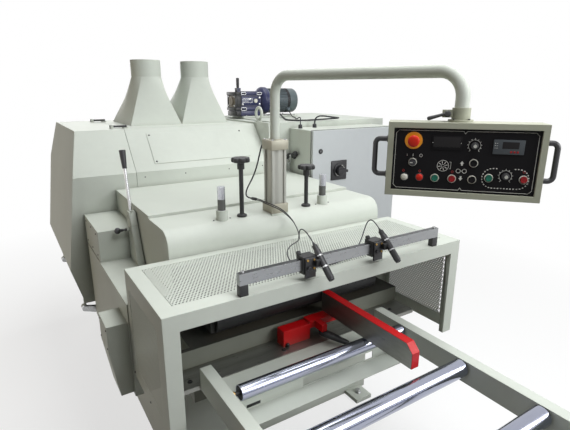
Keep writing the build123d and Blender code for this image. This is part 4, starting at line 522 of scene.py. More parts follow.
def drilled_sheet(place, width, height, hole, pitch=13.6):
    """Sheet of staggered round holes in the placement's XY plane."""
    row = pitch * sqrt(3) / 2
    columns = int((width - pitch * 1.5) / pitch) + 1
    rows = int((height - pitch) / row) + 1
    left = (width - (columns - 0.5) * pitch) / 2 + pitch * 0.25
    low = (height - (rows - 1) * row) / 2
    sides = 12
    rim = [pitch / sqrt(3) if k % 2 else pitch / 2 for k in range(sides)]
    ways = [(cos(radians(30 * k)), sin(radians(30 * k))) for k in range(sides)]
    for j in range(rows):
        for i in range(columns):
            x = left + (i + 0.5 * (j % 2)) * pitch
            y = low + j * row
            outer = [work.verts.new(place @ Vector((x + r * c, y + r * s, 0))) for r, (c, s) in zip(rim, ways)]
            inner = [work.verts.new(place @ Vector((x + hole * c, y + hole * s, 0))) for c, s in ways]
            for k in range(sides):
                m = (k + 1) % sides
                work.faces.new((outer[k], outer[m], inner[m], inner[k]))


def border(low, high, wide):
    """Strips along the edges of a flat box: wide holds their width along each axis, 0 through the sheet."""
    for axis in range(3):
        if wide[axis]:
            near, far = list(high), list(low)
            near[axis], far[axis] = low[axis] + wide[axis], high[axis] - wide[axis]
            block(low, near)
            block(far, high)


def kept_solids(node_name, keep):
    """Puts in work those solids of a node whose lowest and highest corners pass a test."""
    work.from_mesh(nodes[node_name].data)
    bmesh.ops.remove_doubles(work, verts=work.verts, dist=1e-6)
    bmesh.ops.scale(work, vec=(1 / MM, 1 / MM, 1 / MM), verts=work.verts)
    left_over = set(work.verts)
    while left_over:
        seed = left_over.pop()
        island, todo = {seed}, [seed]
        while todo:
            for edge in todo.pop().link_edges:
                for vert in edge.verts:
                    if vert not in island:
                        island.add(vert)
                        todo.append(vert)
        left_over -= island
        corners = [Vector(pick(v.co[k] for v in island) for k in range(3)) for pick in (min, max)]
        if not keep(*corners):
            bmesh.ops.delete(work, geom=list(island), context="VERTS")


sheet_thickness = 2
kept_solids("infeed_guard", lambda low, high: min(high - low) > sheet_thickness)
piece("guard_frame", "machine_paint", node="infeed_guard", angle=20)

sheet_front, sheet_rear, sheet_low, sheet_high = -1483, -1082, 738, 1122
sheet_left, sheet_right = -764, 674
deep, tall = sheet_rear - sheet_front, sheet_high - sheet_low
drilled_sheet(aim((sheet_left, sheet_front, 1191.6)), sheet_right - sheet_left, deep, 3.5)
drilled_sheet(aim((-814.6, sheet_rear, sheet_low), LEFT, FRONT), deep, tall, 3.5)
drilled_sheet(aim((724.6, sheet_front, sheet_low), RIGHT), deep, tall, 2.5)
bmesh.ops.remove_doubles(work, verts=work.verts, dist=0.01)
border((sheet_left, sheet_front, 1191), (sheet_right, sheet_rear, 1191.9), (9, 8, 0))
for near_x, far_x in ((-814.9, -814), (724, 724.9)):
    border((near_x, sheet_front, sheet_low), (far_x, sheet_rear, sheet_high), (0, 9, 9))
piece("guard_sheets", "machine_paint", node="infeed_guard", angle=20)


# Screwed covers: the left box and access panel of the solids, the side cover with a flat top and tapered foot

side_cover_top = 950
kept_solids("screwed_covers", lambda low, high: high.z > side_cover_top)
prism([(-820, 573), (-820, 930), (-911, 930), (-911, 800), (-878, 573)], 168, aim((0, -852, 0), FRONT))
piece("side_covers", "machine_paint", node="screwed_covers", angle=20)


# Pendant: black side handles, panel print, bezels, meters and lamps

arm_reach, arm_heading, box_heading = 952, radians(-78.1), radians(-47.5)
box_x = Vector((*polar(1, box_heading), 0))
box_y = Vector((-box_x.y, box_x.x, 0))
pendant = placed((*polar(arm_reach, arm_heading, (cylinder_x, beam_y)), 0), box_x, box_y, UP)
panel = placed(pendant @ Vector((0, -55, 0)), box_x, UP, -box_y)
spindle_dial, feed_dial, selector, mushroom = (48, 1745), (156, 1645), (-151, 1681), (-153, 1757)


def on_panel(spot):
    """Placement that stands on the panel's face."""
    return panel @ Matrix.Translation((*spot, 0))


low, high, bend = 1625, 1755, 18
quarter = [pi / 2 * i / 8 for i in range(9)]
for side, out in ((-241, -1), (271, 1)):
    corner = side + out * 46 - out * bend
    line = [
        (side, low),
        *((corner + out * bend * sin(a), low + bend - bend * cos(a)) for a in quarter),
        *((corner + out * bend * cos(a), high - bend + bend * sin(a)) for a in quarter),
        (side, high),
    ]
    tube([pendant @ Vector((x, 0, z)) for x, z in line], [9.5] * len(line), 20)
    for z in (low, high):
        lathe([(0, 0), (13, 0), (13, 3), (11.5, 5), (9.6, 6), (0, 6)],
              aim(pendant @ Vector((side, 0, z)), box_x * out), 24)
piece("pendant_handles", "black_plastic", "pendant")

stroke([
    (-203, 1588), (9, 1588), (15, 1596), (21, 1588), (233, 1588), (243, 1598), (243, 1782), (233, 1792), (21, 1792),
    (15, 1784), (9, 1792), (-203, 1792), (-213, 1782), (-213, 1598),
], 1.5, panel, True)
for dial in (spindle_dial, feed_dial):
    stroke(arc(dial, 19.5, -50, 230, 40), 1.0, panel)
    for i in range(11):
        turn = radians(-50 + 28 * i)
        stroke([polar(r, turn, dial) for r in (19.5, 24 if i % 5 else 26)], 1.5, panel)
blade = (-48, 1672)
stroke(arc(blade, 19, 0, 352, 44), 1.4, panel, True)
stroke(arc(blade, 5, 0, 340, 17), 1.2, panel, True)
for i in range(8):
    stroke([polar(r, radians(45 * i + 12), blade) for r in (8, 16)], 2.2, panel)
stroke([(-27, 1686), (-22, 1686), (-22, 1662), (-27, 1662)], 1.2, panel)
arrow = ((0, 0), (-7, 9), (-3, 9), (-3, 16), (3, 16), (3, 9), (7, 9))
for tip, way in ((1691, 1), (1622, -1)):
    patch([(14 + way * x, tip - way * y) for x, y in arrow], panel)
for wheel_x in (4, 24):
    stroke(arc((wheel_x, 1656), 7, 0, 340, 17), 1.5, panel, True)
stroke([(11, 1656), (17, 1656)], 1.8, panel)
oval = []
for centre_x, start in ((196, -90), (116, 90)):
    oval += arc((centre_x, 1636), 34, start, start + 180, 10)
oval.append(oval[0])
walk, gap, half_dash = 0.0, 9.8, 2.4
for (x0, z0), (x1, z1) in zip(oval, oval[1:]):
    length = hypot(x1 - x0, z1 - z0)
    u, v = (x1 - x0) / length, (z1 - z0) / length
    at = (-walk) % gap
    while at < length:
        x, z = x0 + u * at, z0 + v * at
        at_dial = 130 < x < 182 and z > 1650
        if not at_dial:
            stroke([(x + way * u * half_dash, z + way * v * half_dash) for way in (-1, 1)], 3.4, panel)
        at += gap
    walk += length
stroke([(-171, 1702), (-171, 1709)], 1.6, panel)
stroke(arc((-124, 1705), 5, 0, 340, 17), 1.4, panel, True)
stroke([(-151, 1701), (-151, 1711)], 1.6, panel)
piece("panel_print", "printed_white", "pendant")

for spot in ((-180, 1650), (-124, 1650), (-15, 1652), (213, 1662)):
    stroke(arc(spot, 3.6, 0, 340, 12), 1.2, panel, True)
piece("panel_red_marks", "printed_red", "pendant")

buttons = {
    "start_button": ((-72, 1628), "green_plastic"),
    "halt_button": ((-15, 1628), "dark_red_plastic"),
    "raise_button": ((51, 1685), "panel_film"),
    "lower_button": ((51, 1628), "panel_film"),
    "feed_start_button": ((104, 1636), "green_plastic"),
    "feed_halt_button": ((213, 1636), "dark_red_plastic"),
}
for name, (spot, finish) in buttons.items():
    turned(name + "_cap", [
        (0, 0.5), (7.9, 0.5), (7.9, 4), (10, 4), (10.5, 4.5), (10.5, 9.8), (10.1, 10.7), (9.2, 11), (8.2, 10.7),
        (6, 10.1), (0, 9.9),
    ], on_panel(spot), 36, finish, name, node=name)

for spot in [*(spot for spot, finish in buttons.values()), selector]:
    lathe([(11.8, 0), (11.8, 3.2), (12.2, 4.2), (13, 4.6), (13.9, 4), (14.3, 2.6), (14.3, 0)], on_panel(spot), 40, True)
piece("button_bezels", "white_plastic", "pendant")

lamps = {"lamp_white": ((-176, 1627), "white_plastic"), "lamp_red": ((-124, 1628), "red_plastic")}
for spot, finish in lamps.values():
    lathe([(0, 0), (14.6, 0), (14.6, 2.2), (13.6, 3), (12.2, 3), (12.2, 1), (0, 1)], on_panel(spot), 36)
piece("lamp_rings", "black_plastic", "pendant")
for name, (spot, finish) in lamps.items():
    turned(name, [(0, 0.5), (12, 0.5), (12, 4), (11.2, 6), (9, 7.8), (5, 8.8), (0, 9.1)], on_panel(spot), 36, finish,
           "pendant")

turned("stop_plate", [(8.6, 0), (8.6, 1.8), (29.2, 1.8), (30, 1.2), (30, 0)], on_panel(mushroom), 48, "yellow_plastic",
       "pendant", ring=True)
turned("stop_mushroom", [
    (0, 0.5), (7.9, 0.5), (7.9, 8), (12.4, 8), (13, 8.8), (13, 20.8), (14, 22), (18.4, 22), (19.6, 22.8), (20, 24.4),
    (20, 29.4), (19.4, 32), (17.4, 34.2), (13, 35.6), (0, 36),
], on_panel(mushroom), 48, "red_plastic", "emergency_stop", node="emergency_stop")

for name, dial in (("spindle_speed_knob", spindle_dial), ("feed_speed_knob", feed_dial)):
    skirt = on_panel(dial)
    lathe([(0, 0.5), (7.9, 0.5), (7.9, 3), (11.6, 3), (12, 3.6), (12, 7.4), (10.4, 8.2), (0, 8.2)], skirt, 40)
    for turn in turns(18):
        lathe([(0, 8), (1.7, 8), (1.7, 17.4), (1.2, 18.2), (0, 18.2)],
              skirt @ Matrix.Translation((*polar(8.5, turn), 0)), 8)
    lathe([(0, 8), (9.2, 8), (9.2, 17.8), (8.6, 18.4), (0, 18.4)], skirt, 40)
    piece(name + "_grip", "black_plastic", name, node=name)
    lathe([(0, 18.3), (5.8, 18.3), (5.8, 18.8), (5.2, 19), (4.6, 18.8), (0, 18.7)], skirt, 36)
    stroke([(0, 1), (0, 5)], 1.2, skirt, lift=19.05)
    stroke([(0, 9.4), (0, 11.6)], 1.2, skirt, lift=8.4)
    piece(name + "_cap", "barrel_metal", name)

stroke([(-9.6, 0), (0, 0)], 2.6, on_panel(selector), lift=18.2)
piece("selector_line", "printed_white", "selector_switch")

for name, finish, blocks in (
    ("meter_shell", "meter_shell", [((106, 1719, 0), (203, 1768, 5), 2)]),
    ("ammeter_shell", "panel_film", [((-92, 1727, 0), (8, 1777, 3), 1.5)]),
    ("meter_windows", "meter_window", [
        ((-86, 1737, 2), (2, 1772, 3.5), 0.8), ((134, 1738, 4), (186, 1761, 5.6), 0.8),
    ]),
    ("meter_keys", "dark_red_plastic", [((x - 3.4, 1724, 4.5), (x + 3.4, 1731, 6), 0.7) for x in (163, 173, 183)]),
):
    for low, high, bevel in blocks:
        block(low, high, bevel, panel)
    piece(name, finish, "pendant")
for spot in ((-88.4, 1752), (4.6, 1752)):
    lathe([(0, 3), (1.3, 3), (1.1, 3.5), (0, 3.7)], on_panel(spot), 10)
for x in (112, 118):
    for z in (1740, 1748, 1756):
        stroke([(x - 1.6, z), (x + 1.6, z)], 1.2, panel, lift=5.2)
piece("meter_dots", "printed_white", "pendant")

for turn in (45, 135, 225, 315):
    socket_screw(pendant @ aim((*polar(36, radians(turn)), 1828)), 3.6, 4)
for x in (-226, 256):
    for z in (1575, 1805):
        round_screw(aim(pendant @ Vector((x, 55, z)), box_y), 4, 2.4)
piece("pendant_screws", "black_oxide", "pendant")

boss = pendant @ aim((-47, -40.5, 1848), BACK)
lathe([(0, 0), (8, 0), (10, 1.2), (11, 3), (11, 24), (10, 25.6), (0, 26)], boss, 28)
lathe(band(0, 5, 26, 54.4), boss, 16)
tube([pendant @ Vector((-47 - 66 * t, -27.5, 1850 - 20 * t)) for t in (0.05, 0.2, 0.45, 0.7, 0.88, 0.96, 1.0)],
     [5.4, 5.2, 5.6, 6.4, 7.0, 6.2, 4.2], 18)
piece("clamp_handle", "black_plastic", "clamp_lever", node="clamp_lever")


# Stop screws: black spindles with scalloped hand knobs

base, knob_radius, lobes = beam_top + 0.3, 47.5, 7
for name, x, top in (("stop_screw_left", -204, 1609), ("stop_screw_right", 188, 1539)):
    under = top - 24
    lathe([
        (0, base - 50), (10.4, base - 50), (10.8, base), (24, base), (25, base + 1.4), (25, base + 8),
        (22.5, base + 10.6), (17, base + 12), (14.5, base + 13), (13.6, base + 15), (11, base + 16),
        (11, under - 34), (17, under - 34), (18, under - 32.5), (18, under - 3), (19.5, under), (0, under),
    ], aim((x, beam_y, 0)), 36)
    rings = []
    for radius, height in (
        (17, 0), (40, 0.4), (45, 2.4), (47.2, 6), (knob_radius, 14), (46.4, 20), (43, 23.2), (38, 24), (18, 22),
    ):
        ring = []
        for turn in turns(84):
            depth = 1 - 0.20 * (radius / knob_radius) ** 2 * (0.5 - 0.5 * cos(lobes * turn)) ** 2
            ring.append(work.verts.new((*polar(radius * depth, turn, (x, beam_y)), under + height)))
        rings.append(ring)
    skin(rings)
    piece(name + "_body", "black_oxide", name, node=name)


# Lift cylinder: square end blocks, barrel with a groove beside each corner strip

for low_z in (beam_top, cylinder_top - 48):
    block((cylinder_x - 49, beam_y - 49, low_z), (cylinder_x + 49, beam_y + 49, low_z + 48), 1.2)
lathe([(24.6, 0), (31, 0), (31, 2.4), (29.6, 3.6), (24.6, 3.6)], aim((cylinder_x, beam_y, cylinder_top)), 40, True)
piece("cylinder_blocks", "anodised_tan", node="lift_cylinder")
side = [(-41.5, -41.5), (-29, -41.5), (-29, -35.5), (-24.5, -35.5)]
side += [(20 * t, -36.5 - 5 * cos(pi / 2 * t)) for t in (-1, -0.75, -0.5, -0.25, 0, 0.25, 0.5, 0.75, 1)]
side += [(24.5, -35.5), (29, -35.5), (29, -41.5)]
outline = []
for i in range(4):
    outline += [tuple(Matrix.Rotation(pi / 2 * i, 2) @ Vector(point)) for point in side]
prism(outline, 277, aim((cylinder_x, beam_y, beam_top + 48)))
piece("cylinder_barrel", "barrel_metal", node="lift_cylinder")


# Feed motor: ribbed frame, fan cowl and terminals; gearbox covers and bolts

motor_y, motor_z = 640, 1830
axle = aim((835, motor_y, motor_z), RIGHT, UP)
lathe([(0, 0), (103, 0), (105, 2), (105, 16), (98, 18), (98, 190), (0, 190)], axle, 72)
for turn in turns(44):
    block((96, -1.3, 16), (104.6, 1.3, 190), place=spun(axle, turn))
way = Vector((0, -sin(radians(45)), -cos(radians(45))))
for x in (930, 1040):
    lathe([(0, 0), (22, 0), (22, 12), (17, 15), (15, 20), (15, 33), (11, 35), (0, 35)],
          aim(Vector((x, motor_y, motor_z)) + way * 92, way), 28)
piece("feed_motor_frame", "motor_enamel", node="feed_motor")
lathe(band(0, 101, 190, 214), axle, 72)
for turn in turns(30):
    block((98, -3, 194), (104, 3, 214), 0.8, spun(axle, turn))
piece("feed_motor_ring", "black_plastic", node="feed_motor")
lathe([
    (100, 214), (105, 214), (105, 276), (103.2, 285), (98, 293), (90, 298), (81, 300), (78, 299.4), (78, 296),
    (20, 296), (20, 299), (0, 299.4),
], axle, 72)
for turn in turns(24):
    block((18, -2, 295.4), (80, 2, 299.4), 0.6, spun(axle, turn))
for radius in (34, 48, 62):
    lathe(band(radius, radius + 3, 295.6, 299), axle, 48, True)
piece("feed_motor_cowl", "cowl_enamel", node="feed_motor")

for low, high, bevel in (
    ((560, 550, 1880), (764, 730, 1903), 3), ((560, 550, 1752), (764, 730, 1780), 3),
    ((560, 556, 1708), (764, 724, 1750), 3), ((574, 557, 1796), (752, 563, 1868), 2),
    ((620, 574, 1898), (740, 706, 1910), 4),
):
    block(low, high, bevel)
lathe([(70, 0), (84, 6), (108, 30), (113, 38), (113, 46), (70, 46)], aim((760, motor_y, motor_z), RIGHT), 64, True)
piece("gearbox_covers", "navy_enamel")
for low, high, bevel in (
    ((517, 549, 1878), (566, 731, 1904), 3), ((517, 549, 1754), (566, 731, 1776), 3),
    ((522, 554, 1708), (566, 726, 1748), 3), ((532, 557, 1780), (570, 563, 1876), 2),
    ((520, 556, 1776), (532, 576, 1878), 2), ((520, 704, 1776), (532, 724, 1878), 2),
):
    block(low, high, bevel)
piece("gearbox_ends", "black_oxide")
block((522, 578, 1780), (531, 702, 1874), 3)
lathe([(0, 0), (34, 0), (34, 5), (28, 8), (26, 6), (0, 6)], aim((522, motor_y, 1828), LEFT), 36)
piece("gearbox_end_cover", "waist_iron")
slots = ((567, 611, 1883, 1901), (716, 762, 1883, 1901), (563, 615, 1754, 1778))
for left_end, right_end, low_z, high_z in slots:
    middle_z, half = (low_z + high_z) / 2, (high_z - low_z) / 2
    line = arc((right_end - half, middle_z), half, -90, 90, 8) + arc((left_end + half, middle_z), half, 90, 270, 8)
    stroke(line, 3.2, aim((0, 549.4, 0), FRONT), True, 0.6)
cover_y = 557
cover_face = aim((0, cover_y, 0), FRONT)
stroke(((584, 1818), (672, 1818), (672, 1850), (584, 1850)), 2.6, cover_face, True, 0.6)
for z in (1829, 1840):
    stroke([(590, z), (640, z)], 2.4, cover_face, lift=0.6)
for x, z in ((650, 1845), (744, 1857), (744, 1804), (582, 1804)):
    hex_bolt(aim((x, cover_y, z), FRONT), 12, 6)
for y in (584, 696):
    for z in (1792, 1866):
        hex_bolt(aim((522, y, z), LEFT), 11, 6)
for i in range(8):
    hex_bolt(aim((805, *polar(98, radians(22.5 + 45 * i), (motor_y, motor_z))), LEFT), 12, 8)
for x in (610, 700, 790, 1090):
    for y in (542, 738):
        hex_bolt(aim((x, y, 1706)), 12, 8)
piece("gearbox_bolts", "bright_steel")
for left_end, right_end, low_z, high_z in slots:
    for x in (left_end + 12, right_end - 12):
        socket_screw(aim((x, 550, (low_z + high_z) / 2), FRONT), 6.4, 7)
piece("gearbox_slot_screws", "black_oxide")

# Skin of the drive's plinth, and the sheets between the drive housing's front and the arbor frame
block((574.2, 534.2, 1690), (1118.8, 745.8, 1706.8), 0.6)
block((484.2, -34, 1380), (487, 139.6, 1689.6), 0.8)
block((487, -34, 1680), (574.8, 139.6, 1683.6), 0.8)
piece("drive_sheets", "machine_paint")
turned("oil_sight", [(0, 0), (17, 0), (17, 5), (14, 7), (13, 5), (0, 5)], aim((706, cover_y, 1832), FRONT), 28,
       "white_plastic", "machine")
lever_pivot = (581, motor_y, 1922)
lathe([(0, 0), (9, 0), (10, 2), (12.6, 40), (13, 88), (12, 93.6), (8, 96), (0, 96)], aim(lever_pivot), 24)
lathe([(0, -15), (14.6, -15), (16, -13.6), (16, 13.6), (14.6, 15), (0, 15)], aim(lever_pivot, BACK), 28)
lathe(band(0, 6, -23.5, 23.5), aim(lever_pivot, BACK), 20)
piece("speed_handle", "black_plastic", "speed_lever", node="speed_lever")


# Cabinet: main switch plate, lock, key handle with its keys

switch_x, switch_z, switch_half, switch_face = 904, 1353, 72, -346
block((switch_x - switch_half, switch_face, switch_z - switch_half),
      (switch_x + switch_half, -339.5, switch_z + switch_half), 5, segments=3)
lathe([(34, 0), (34, 8), (37, 10), (48, 10), (51, 8), (51, 0)], aim((switch_x, switch_face, switch_z), FRONT), 48, True)
piece("switch_plate", "black_plastic", "cabinet_door")
for start in (200, 380):
    stroke(arc((0, 0), 42, start, start + 50, 12), 2.6, aim((switch_x, -356.2, switch_z), FRONT), lift=0.2)
piece("switch_marks", "printed_white", "cabinet_door")
lock_x, lock_z = 735, 1502
turned("door_lock", [(0, 0), (18, 0), (18, 3), (15, 5.4), (11, 6), (11, 4), (3, 4), (0, 4)],
       aim((lock_x, -340, lock_z), FRONT), 36, "black_plastic", "cabinet_door")
stroke([(0, -6), (0, 6)], 3.2, aim((lock_x, -344.4, lock_z), FRONT), lift=0.2)
piece("lock_slot", "bright_steel", "cabinet_door")

lathe([(0, 0), (26, 0), (26, 5), (19, 8), (17, 22), (0, 22)], aim((667, -108, 1450), LEFT), 28)
tube([(638, -168, 1470), (638, -150, 1467), (640, -120, 1459), (640, -90, 1452), (638, -70, 1446), (637, -60, 1420)],
     [14, 15, 13, 13, 15, 10], 20)
for y, z, radius in ((-158, 1468, 22), (-72, 1446, 19)):
    lathe([(0, 0), (radius * 0.8, 0), (radius, 4), (radius, 20), (radius * 0.8, 25), (0, 26)],
          aim((652, y, z), LEFT), 32)
piece("key_handle", "black_plastic")
lathe([(0, 0), (9, 0), (9, 6), (7, 7), (0, 7)], aim((629, -112, 1452), LEFT), 24)
block((622, -116, 1432), (626, -108, 1452), 1)
lathe(band(12, 15, -1.6, 1.6), aim((636, -76, 1410), (0.4, 1, 0)), 24, True)
for shift, lean in ((-3, 5), (4, -7)):
    place = Matrix.Translation((636 + shift, -76, 1398)) @ Matrix.Rotation(radians(lean), 4, "Y")
    lathe(band(0, 14, -1.2, 1.2), place @ aim((0, 0, -11), RIGHT), 24)
    block((-1.2, -5, -76), (1.2, 5, -20), 0.6, place)
piece("key_ring", "bright_steel")
block((665.8, -319.6, 156), (667.6, -313, 1646), 0.6)
block((668, -319.6, 1643), (1482, -313, 1650.6), 0.6)
piece("door_seal", "cable_rubber")


# Fence: red painted top and nose over the steel plate, ball under the bracket, clamp lever's grip

outer = [(-1242, 942), (-1809.4, 942), (-1844, 907.4), (-1844, 838)]
inner = [(-1842, 838), (-1842, 906.6), (-1808.6, 940), (-1242, 940)]
prism(outer + inner, 41.4, aim((89.8, 0, 0), RIGHT))
piece("fence_top", "red_enamel", "fence_unit")

ball = (-164, -1317, 757.5)
lathe([(0, -9), (5, -8), (8.6, -4), (9.4, 0), (8.6, 4.4), (6, 7.6), (0, 9)], aim(ball), 24)
lathe(band(0, 3, 0, 9), aim(ball, BACK), 12)
piece("bracket_ball", "black_plastic", "fence_unit")

stud, squareness = Vector((11, -1352, 791)), 0.6
grip_way = Vector((*polar(1, radians(-64)), 0))
grip_side = Vector((-grip_way.y, grip_way.x, 0))
rings = []
for out, half, low, high in (
    (-15, 9, -10, 8), (-11, 15, -12, 10), (0, 19, -14, 10), (26, 21, -17, 10), (52, 20, -20, 7), (96, 15, -24, 0),
    (130, 11, -26, -5), (141, 8, -25, -8),
):
    ring = []
    for turn in turns(20):
        across, rise = (copysign(abs(way) ** squareness, way) for way in polar(1, turn))
        height = (low + high) / 2 + (high - low) / 2 * rise
        ring.append(work.verts.new(stud + grip_way * out + grip_side * (half * across) + Vector((0, 0, height))))
    rings.append(ring)
skin(rings)
piece("fence_lever_grip", "black_plastic", "fence_lever", node="fence_lever")


# Laser units: thumb screws, lens rims, sleeves and bands; the bar's blocks and bolts

laser_way = Vector((0, -cos(radians(42)), -sin(radians(42))))
for name, x in (("laser_left", -216), ("laser_right", 146)):
    middle = Vector((x + 44, -1583, 1270))
    nose, tail = middle + laser_way * 79, middle - laser_way * 79
    barrel = aim(nose, laser_way)
    thumb = aim((x - 31, -1532, 1309), LEFT)
    lathe([(7.4, -1), (7.4, 1), (9, 2.2), (11.9, 1.2), (12.3, -2), (12.3, -12), (11.6, -13), (8, -13)], barrel, 36,
          True)
    for back in (34, 40, 46):
        lathe([(11, -1.6), (12.1, -1), (12.1, 1), (11, 1.6)], aim(nose - laser_way * back, laser_way), 36, True)
    for turn in turns(20):
        block((7.6, -0.8, 2), (9.4, 0.8, 13), 0.3, spun(thumb, turn))
    lathe([(0, 0), (5, 0), (5, 2), (8.4, 2), (8.4, 13), (7.6, 14), (0, 14)], thumb, 24)
    lathe([(0, 0), (6, 0), (6, 8), (9, 9), (9, 18), (8, 19), (0, 19)], aim((x - 12, -1558, 1250), FRONT), 24)
    block((x - 26, -1566, 1208), (x + 24, -1556, 1292), 2)
    lathe([(0, -6), (13.4, -6), (14.2, -8), (14.2, -132), (12.6, -136), (0, -136)], barrel, 36)
    boot(tail + laser_way * 2, -laser_way, 7.6, 3.3, 17)
    piece(name + "_fittings", "black_plastic", name)
    turned(name + "_lens", [(0, -0.6), (7.4, -0.6), (5, 0.2), (0, 0.6)], barrel, 28, "lens_glass", name)
    for screw_x, z in ((x + 14, 1247), (x + 14, 1282), (x - 18, 1284)):
        socket_screw(aim((screw_x, -1566, z), FRONT), 4.4, 4)
    piece(name + "_screws", "brass", name)
    for back in (58, 108):
        lathe(band(11, 14.6, -2.6, 2.6), aim(nose - laser_way * back, laser_way), 36, True)
    piece(name + "_bands", "bright_steel", name)

for low_x in (-520.6, 519.6):
    block((low_x, -1545.6, 1192), (low_x + 36, -1519.4, 1236.6), 1.5)
piece("laser_bar_blocks", "black_plastic")
for x in (-502, 537):
    socket_screw(aim((x, -1532.5, 1282)), 7, 7)
piece("laser_bar_bolts", "bright_steel")


# Levers and knobs at the left side frame

lean = radians(11.5)
pivot = Vector((-640, -489, 1266))
lever = aim(pivot, (0, sin(lean), cos(lean)))
turned("height_lever_grip", [
    (0, 257.4), (11.6, 257.4), (12.2, 262), (13.4, 282), (15, 310), (16.7, 336), (17.6, 350), (17.6, 354.2),
    (16.6, 355.8), (10, 356.6), (0, 356.8),
], lever, 32, "black_plastic", "height_lever", node="height_lever")
turned("height_lever_rod", band(0, 8.5, 15, 258), lever, 28, "bright_steel", "height_lever", "height_lever")
lathe([(0, -9.6), (19, -9.6), (20, -8.6), (20, 8.6), (19, 9.6), (0, 9.6)], aim(pivot, RIGHT), 40)
lathe([(0, 12), (12.5, 12), (12.5, 30), (9, 33), (0, 33)], lever, 28)
piece("height_lever_hub", "machine_paint", "height_lever", node="height_lever")
for x, way in ((-658.4, LEFT), (-621.6, RIGHT)):
    lathe([(0, 0), (9, 0), (9, 2), (6, 5), (0, 5.4)], aim((x, pivot.y, pivot.z), way), 24)
plunger_y, plunger_z = -500, 1199
lathe([(5.4, 0), (12, 0), (12, 14), (10.6, 16), (5.4, 16)], aim((-658, plunger_y, plunger_z), LEFT), 28, True)
bracket_out = (0, -270, 105)
prism([(-17.4, -74), (17.4, -74), (17.4, -4), (6, 12), (-17.4, -26)], 2.4, aim((-640, -515, 1295), bracket_out))
piece("plunger_sleeve", "machine_paint")
plunger = aim((-676, plunger_y, plunger_z), LEFT)
lathe([(5.2, 0), (8, 0), (8, 5), (6.6, 6), (5.2, 6)], plunger, 24, True)
lathe([(5.2, 18), (7.4, 18), (8.6, 24), (9, 30), (5.2, 30)], plunger, 24, True)
piece("plunger_collar", "black_oxide", "lock_knob")

# Dark bands round the guide posts just above their collars: grease, and painted shade and reflection.
for x in post_x:
    lathe(band(18, 19.15, 0, 54), aim((x, beam_y, 1360)), 40, True)
piece("post_grease_and_shade_bands", "cast_iron", "press")


# Small fasteners

slope, slope_out = (Vector(way).normalized() for way in ((0, 222, 254), (0, -254, 222)))
for x, up_slope in ((-335, 69), (-335, 277), (335, 277)):
    round_screw(aim(Vector((x, -38, 1419)) + slope * up_slope + slope_out * 3, slope_out), 6, 3.4)
for x in (-430, -160, 160, 430):
    round_screw(aim((x, -38, 1386), FRONT), 4, 2.2)
guard_rows = (-1530, -1300, -1060)
for points, way in (
    ([(-816, y, z) for y in (-400, -250, -100) for z in (1170, 1050)], LEFT),
    ([(-911, y, z) for y in (-1006, -866) for z in (820, 910)], LEFT),
    ([(x + shift, beam_y, beam_top) for x in post_x for shift in (-44, 44)], UP),
    ([(-815, y, 700) for y in guard_rows], LEFT),
    ([(725, y, 700) for y in guard_rows], RIGHT),
):
    for point in points:
        round_screw(aim(point, way), 5, 3)
piece("cover_screws", "black_oxide")

for x, y in ((-654, -1322), (-193, -1329), (520, -1300)):
    seat = aim((x, y, 747))
    lathe(band(0, 11, 0.4, 0.1), seat, 28)
    socket_screw(seat, 9, 5)
block((-503, -1542.7, 702), (-440, -1542, 716), 0.3)
piece("bed_bolts", "black_oxide")

for x in (-560, 560):
    for y in (-1040, 1040):
        hex_bolt(aim((x, y, 25)), 30, 20)
for x in (-38, 38):
    for y in (-38, 38):
        socket_screw(aim((cylinder_x + x, beam_y + y, cylinder_top)), 7, 5)
piece("anchor_bolts", "bright_steel")


# Infeed rollers: chromed tubes with end discs, on journals with brass spacers

length = 871
for name, y, diameter in (
    ("infeed_roller_rear", -1556, 63.5), ("infeed_roller_middle", -1900, 76), ("infeed_roller_front", -2244, 76),
):
    outer = diameter / 2
    inner = outer - 4
    axis = aim((-540, y, feed_plane - outer), RIGHT)
    turned(name + "_tube", [
        (inner, 0), (outer - 0.8, 0), (outer, 0.8), (outer, length - 0.8), (outer - 0.8, length), (inner, length),
    ], axis, 72, "hard_chrome", name, node=name, ring=True)
    for near, far in ((3, 9), (length - 9, length - 3)):
        lathe(band(10.2, outer - 4.2, near, far), axis, 40, True)
    piece(name + "_ends", "black_oxide", name)
    turned(name + "_journals", band(0, 10, -55, length + 28), axis, 28, "black_oxide", name, name)
    for near, far in ((-34.6, -22), (length + 0.4, length + 7)):
        lathe(band(10.1, 14, near, far), axis, 28, True)
    piece(name + "_spacers", "brass", name)


# Upper feed roller: spiral teeth

roller_low, roller_high = (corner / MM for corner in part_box("upper_feed_roller"))
roller_middle = (roller_low + roller_high) / 2
teeth, tooth_radii, along_steps, end_gap = 48, (74.6, 71.4, 70.6), 60, 24
rings = []
for j in range(along_steps + 1):
    x = roller_low.x + end_gap + (roller_high.x - roller_low.x - 2 * end_gap) * j / along_steps
    twist = radians(90) * j / along_steps
    rings.append([
        work.verts.new((x, *polar(tooth_radii[k % 3], turn + twist, roller_middle.yz)))
        for k, turn in enumerate(turns(teeth * 3))
    ])
skin(rings)
piece("feed_roller_teeth", "black_oxide", "upper_feed_roller", angle=20)
work.free()


# Stage, in metres: pale floor, white surroundings and soft light

def seen_rays(tree):
    """1 for camera, glossy and transmission rays, 0 for the rays that carry light between surfaces."""
    rays = add_node(tree, "LightPath", {})
    seen = rays["Is Camera Ray"]
    for kind in ("Is Glossy Ray", "Is Transmission Ray"):
        seen = add_node(tree, "Math", {0: seen, 1: rays[kind]}, operation="MAXIMUM")[0]
    return seen


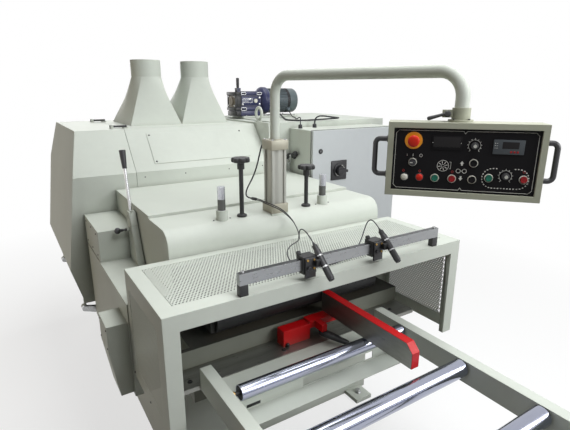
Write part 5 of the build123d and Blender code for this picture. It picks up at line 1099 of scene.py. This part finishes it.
reach = 30
corners = [(-reach, -reach, 0), (reach, -reach, 0), (reach, reach, 0), (-reach, reach, 0)]
floor_mesh = bpy.data.meshes.new("floor")
floor_mesh.from_pydata(corners, [], [(0, 1, 2, 3)])
floor = bpy.data.objects.new("floor", floor_mesh)
scene.collection.objects.link(floor)
floor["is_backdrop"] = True
floor_material = bpy.data.materials.new("floor")
floor_material.use_nodes = True
floor_mesh.materials.append(floor_material)
tree = floor_material.node_tree
bounce = tree.nodes["Principled BSDF"]
fill(tree, bounce, {"Base Color": (0.12, 0.11, 0.09, 1), "Roughness": 0.9})
shadowed = add_node(tree, "BsdfDiffuse", {"Color": (0.95, 0.95, 0.95, 1)})[0]
glow = add_node(tree, "Emission", {})[0]
where = add_node(tree, "TexCoord", {})["Object"]
distance = add_node(tree, "VectorMath", {0: where}, operation="LENGTH")["Value"]
white_share = ranged(tree, distance, 1.6, 4.2, 0.68, 1.0)
pale = add_node(tree, "MixShader", {0: white_share, 1: shadowed, 2: glow})[0]
either = add_node(tree, "MixShader", {0: seen_rays(tree), 1: bounce.outputs[0], 2: pale})[0]
fill(tree, tree.nodes["Material Output"], {"Surface": either})

world = bpy.data.worlds.new("world")
scene.world = world
world.use_nodes = True
tree = world.node_tree
strength = ranged(tree, seen_rays(tree), 0.0, 1.0, 0.03, 1.0)
fill(tree, tree.nodes["Background"], {"Color": (1, 1, 1, 1), "Strength": strength})


def soft_light(name, place, target, size, watts, colour):
    """Rectangular lamp aimed at a point, in metres."""
    data = bpy.data.lights.new(name, "AREA")
    data.shape = "RECTANGLE"
    data.size, data.size_y = size
    data.energy = watts
    data.color = colour
    made = bpy.data.objects.new(name, data)
    made.matrix_world = aim(Vector(place), Vector(place) - Vector(target))
    scene.collection.objects.link(made)


soft_light("key", (1.2, 0.0, 6.0), (0.2, -0.2, 1.0), (3.0, 4.0), 184, (0.985, 1.0, 0.995))
soft_light("front", (2.2, -4.6, 2.9), (0.2, -0.4, 1.2), (2.4, 1.8), 125, (0.97, 0.99, 1.0))
soft_light("rails", (-0.1, -2.6, 3.6), (-0.1, -2.0, 0.8), (1.4, 1.2), 38, (0.98, 0.99, 1.0))
soft_light("left", (-4.2, 1.3, 1.9), (-0.7, 0.2, 1.1), (2.0, 2.0), 23, (1.0, 0.84, 0.62))
soft_light("rear", (0.6, 5.6, 2.2), (0.2, 0.8, 1.0), (3.0, 2.4), 75, (1.0, 0.99, 0.97))


bpy.context.view_layer.update()
low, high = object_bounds()
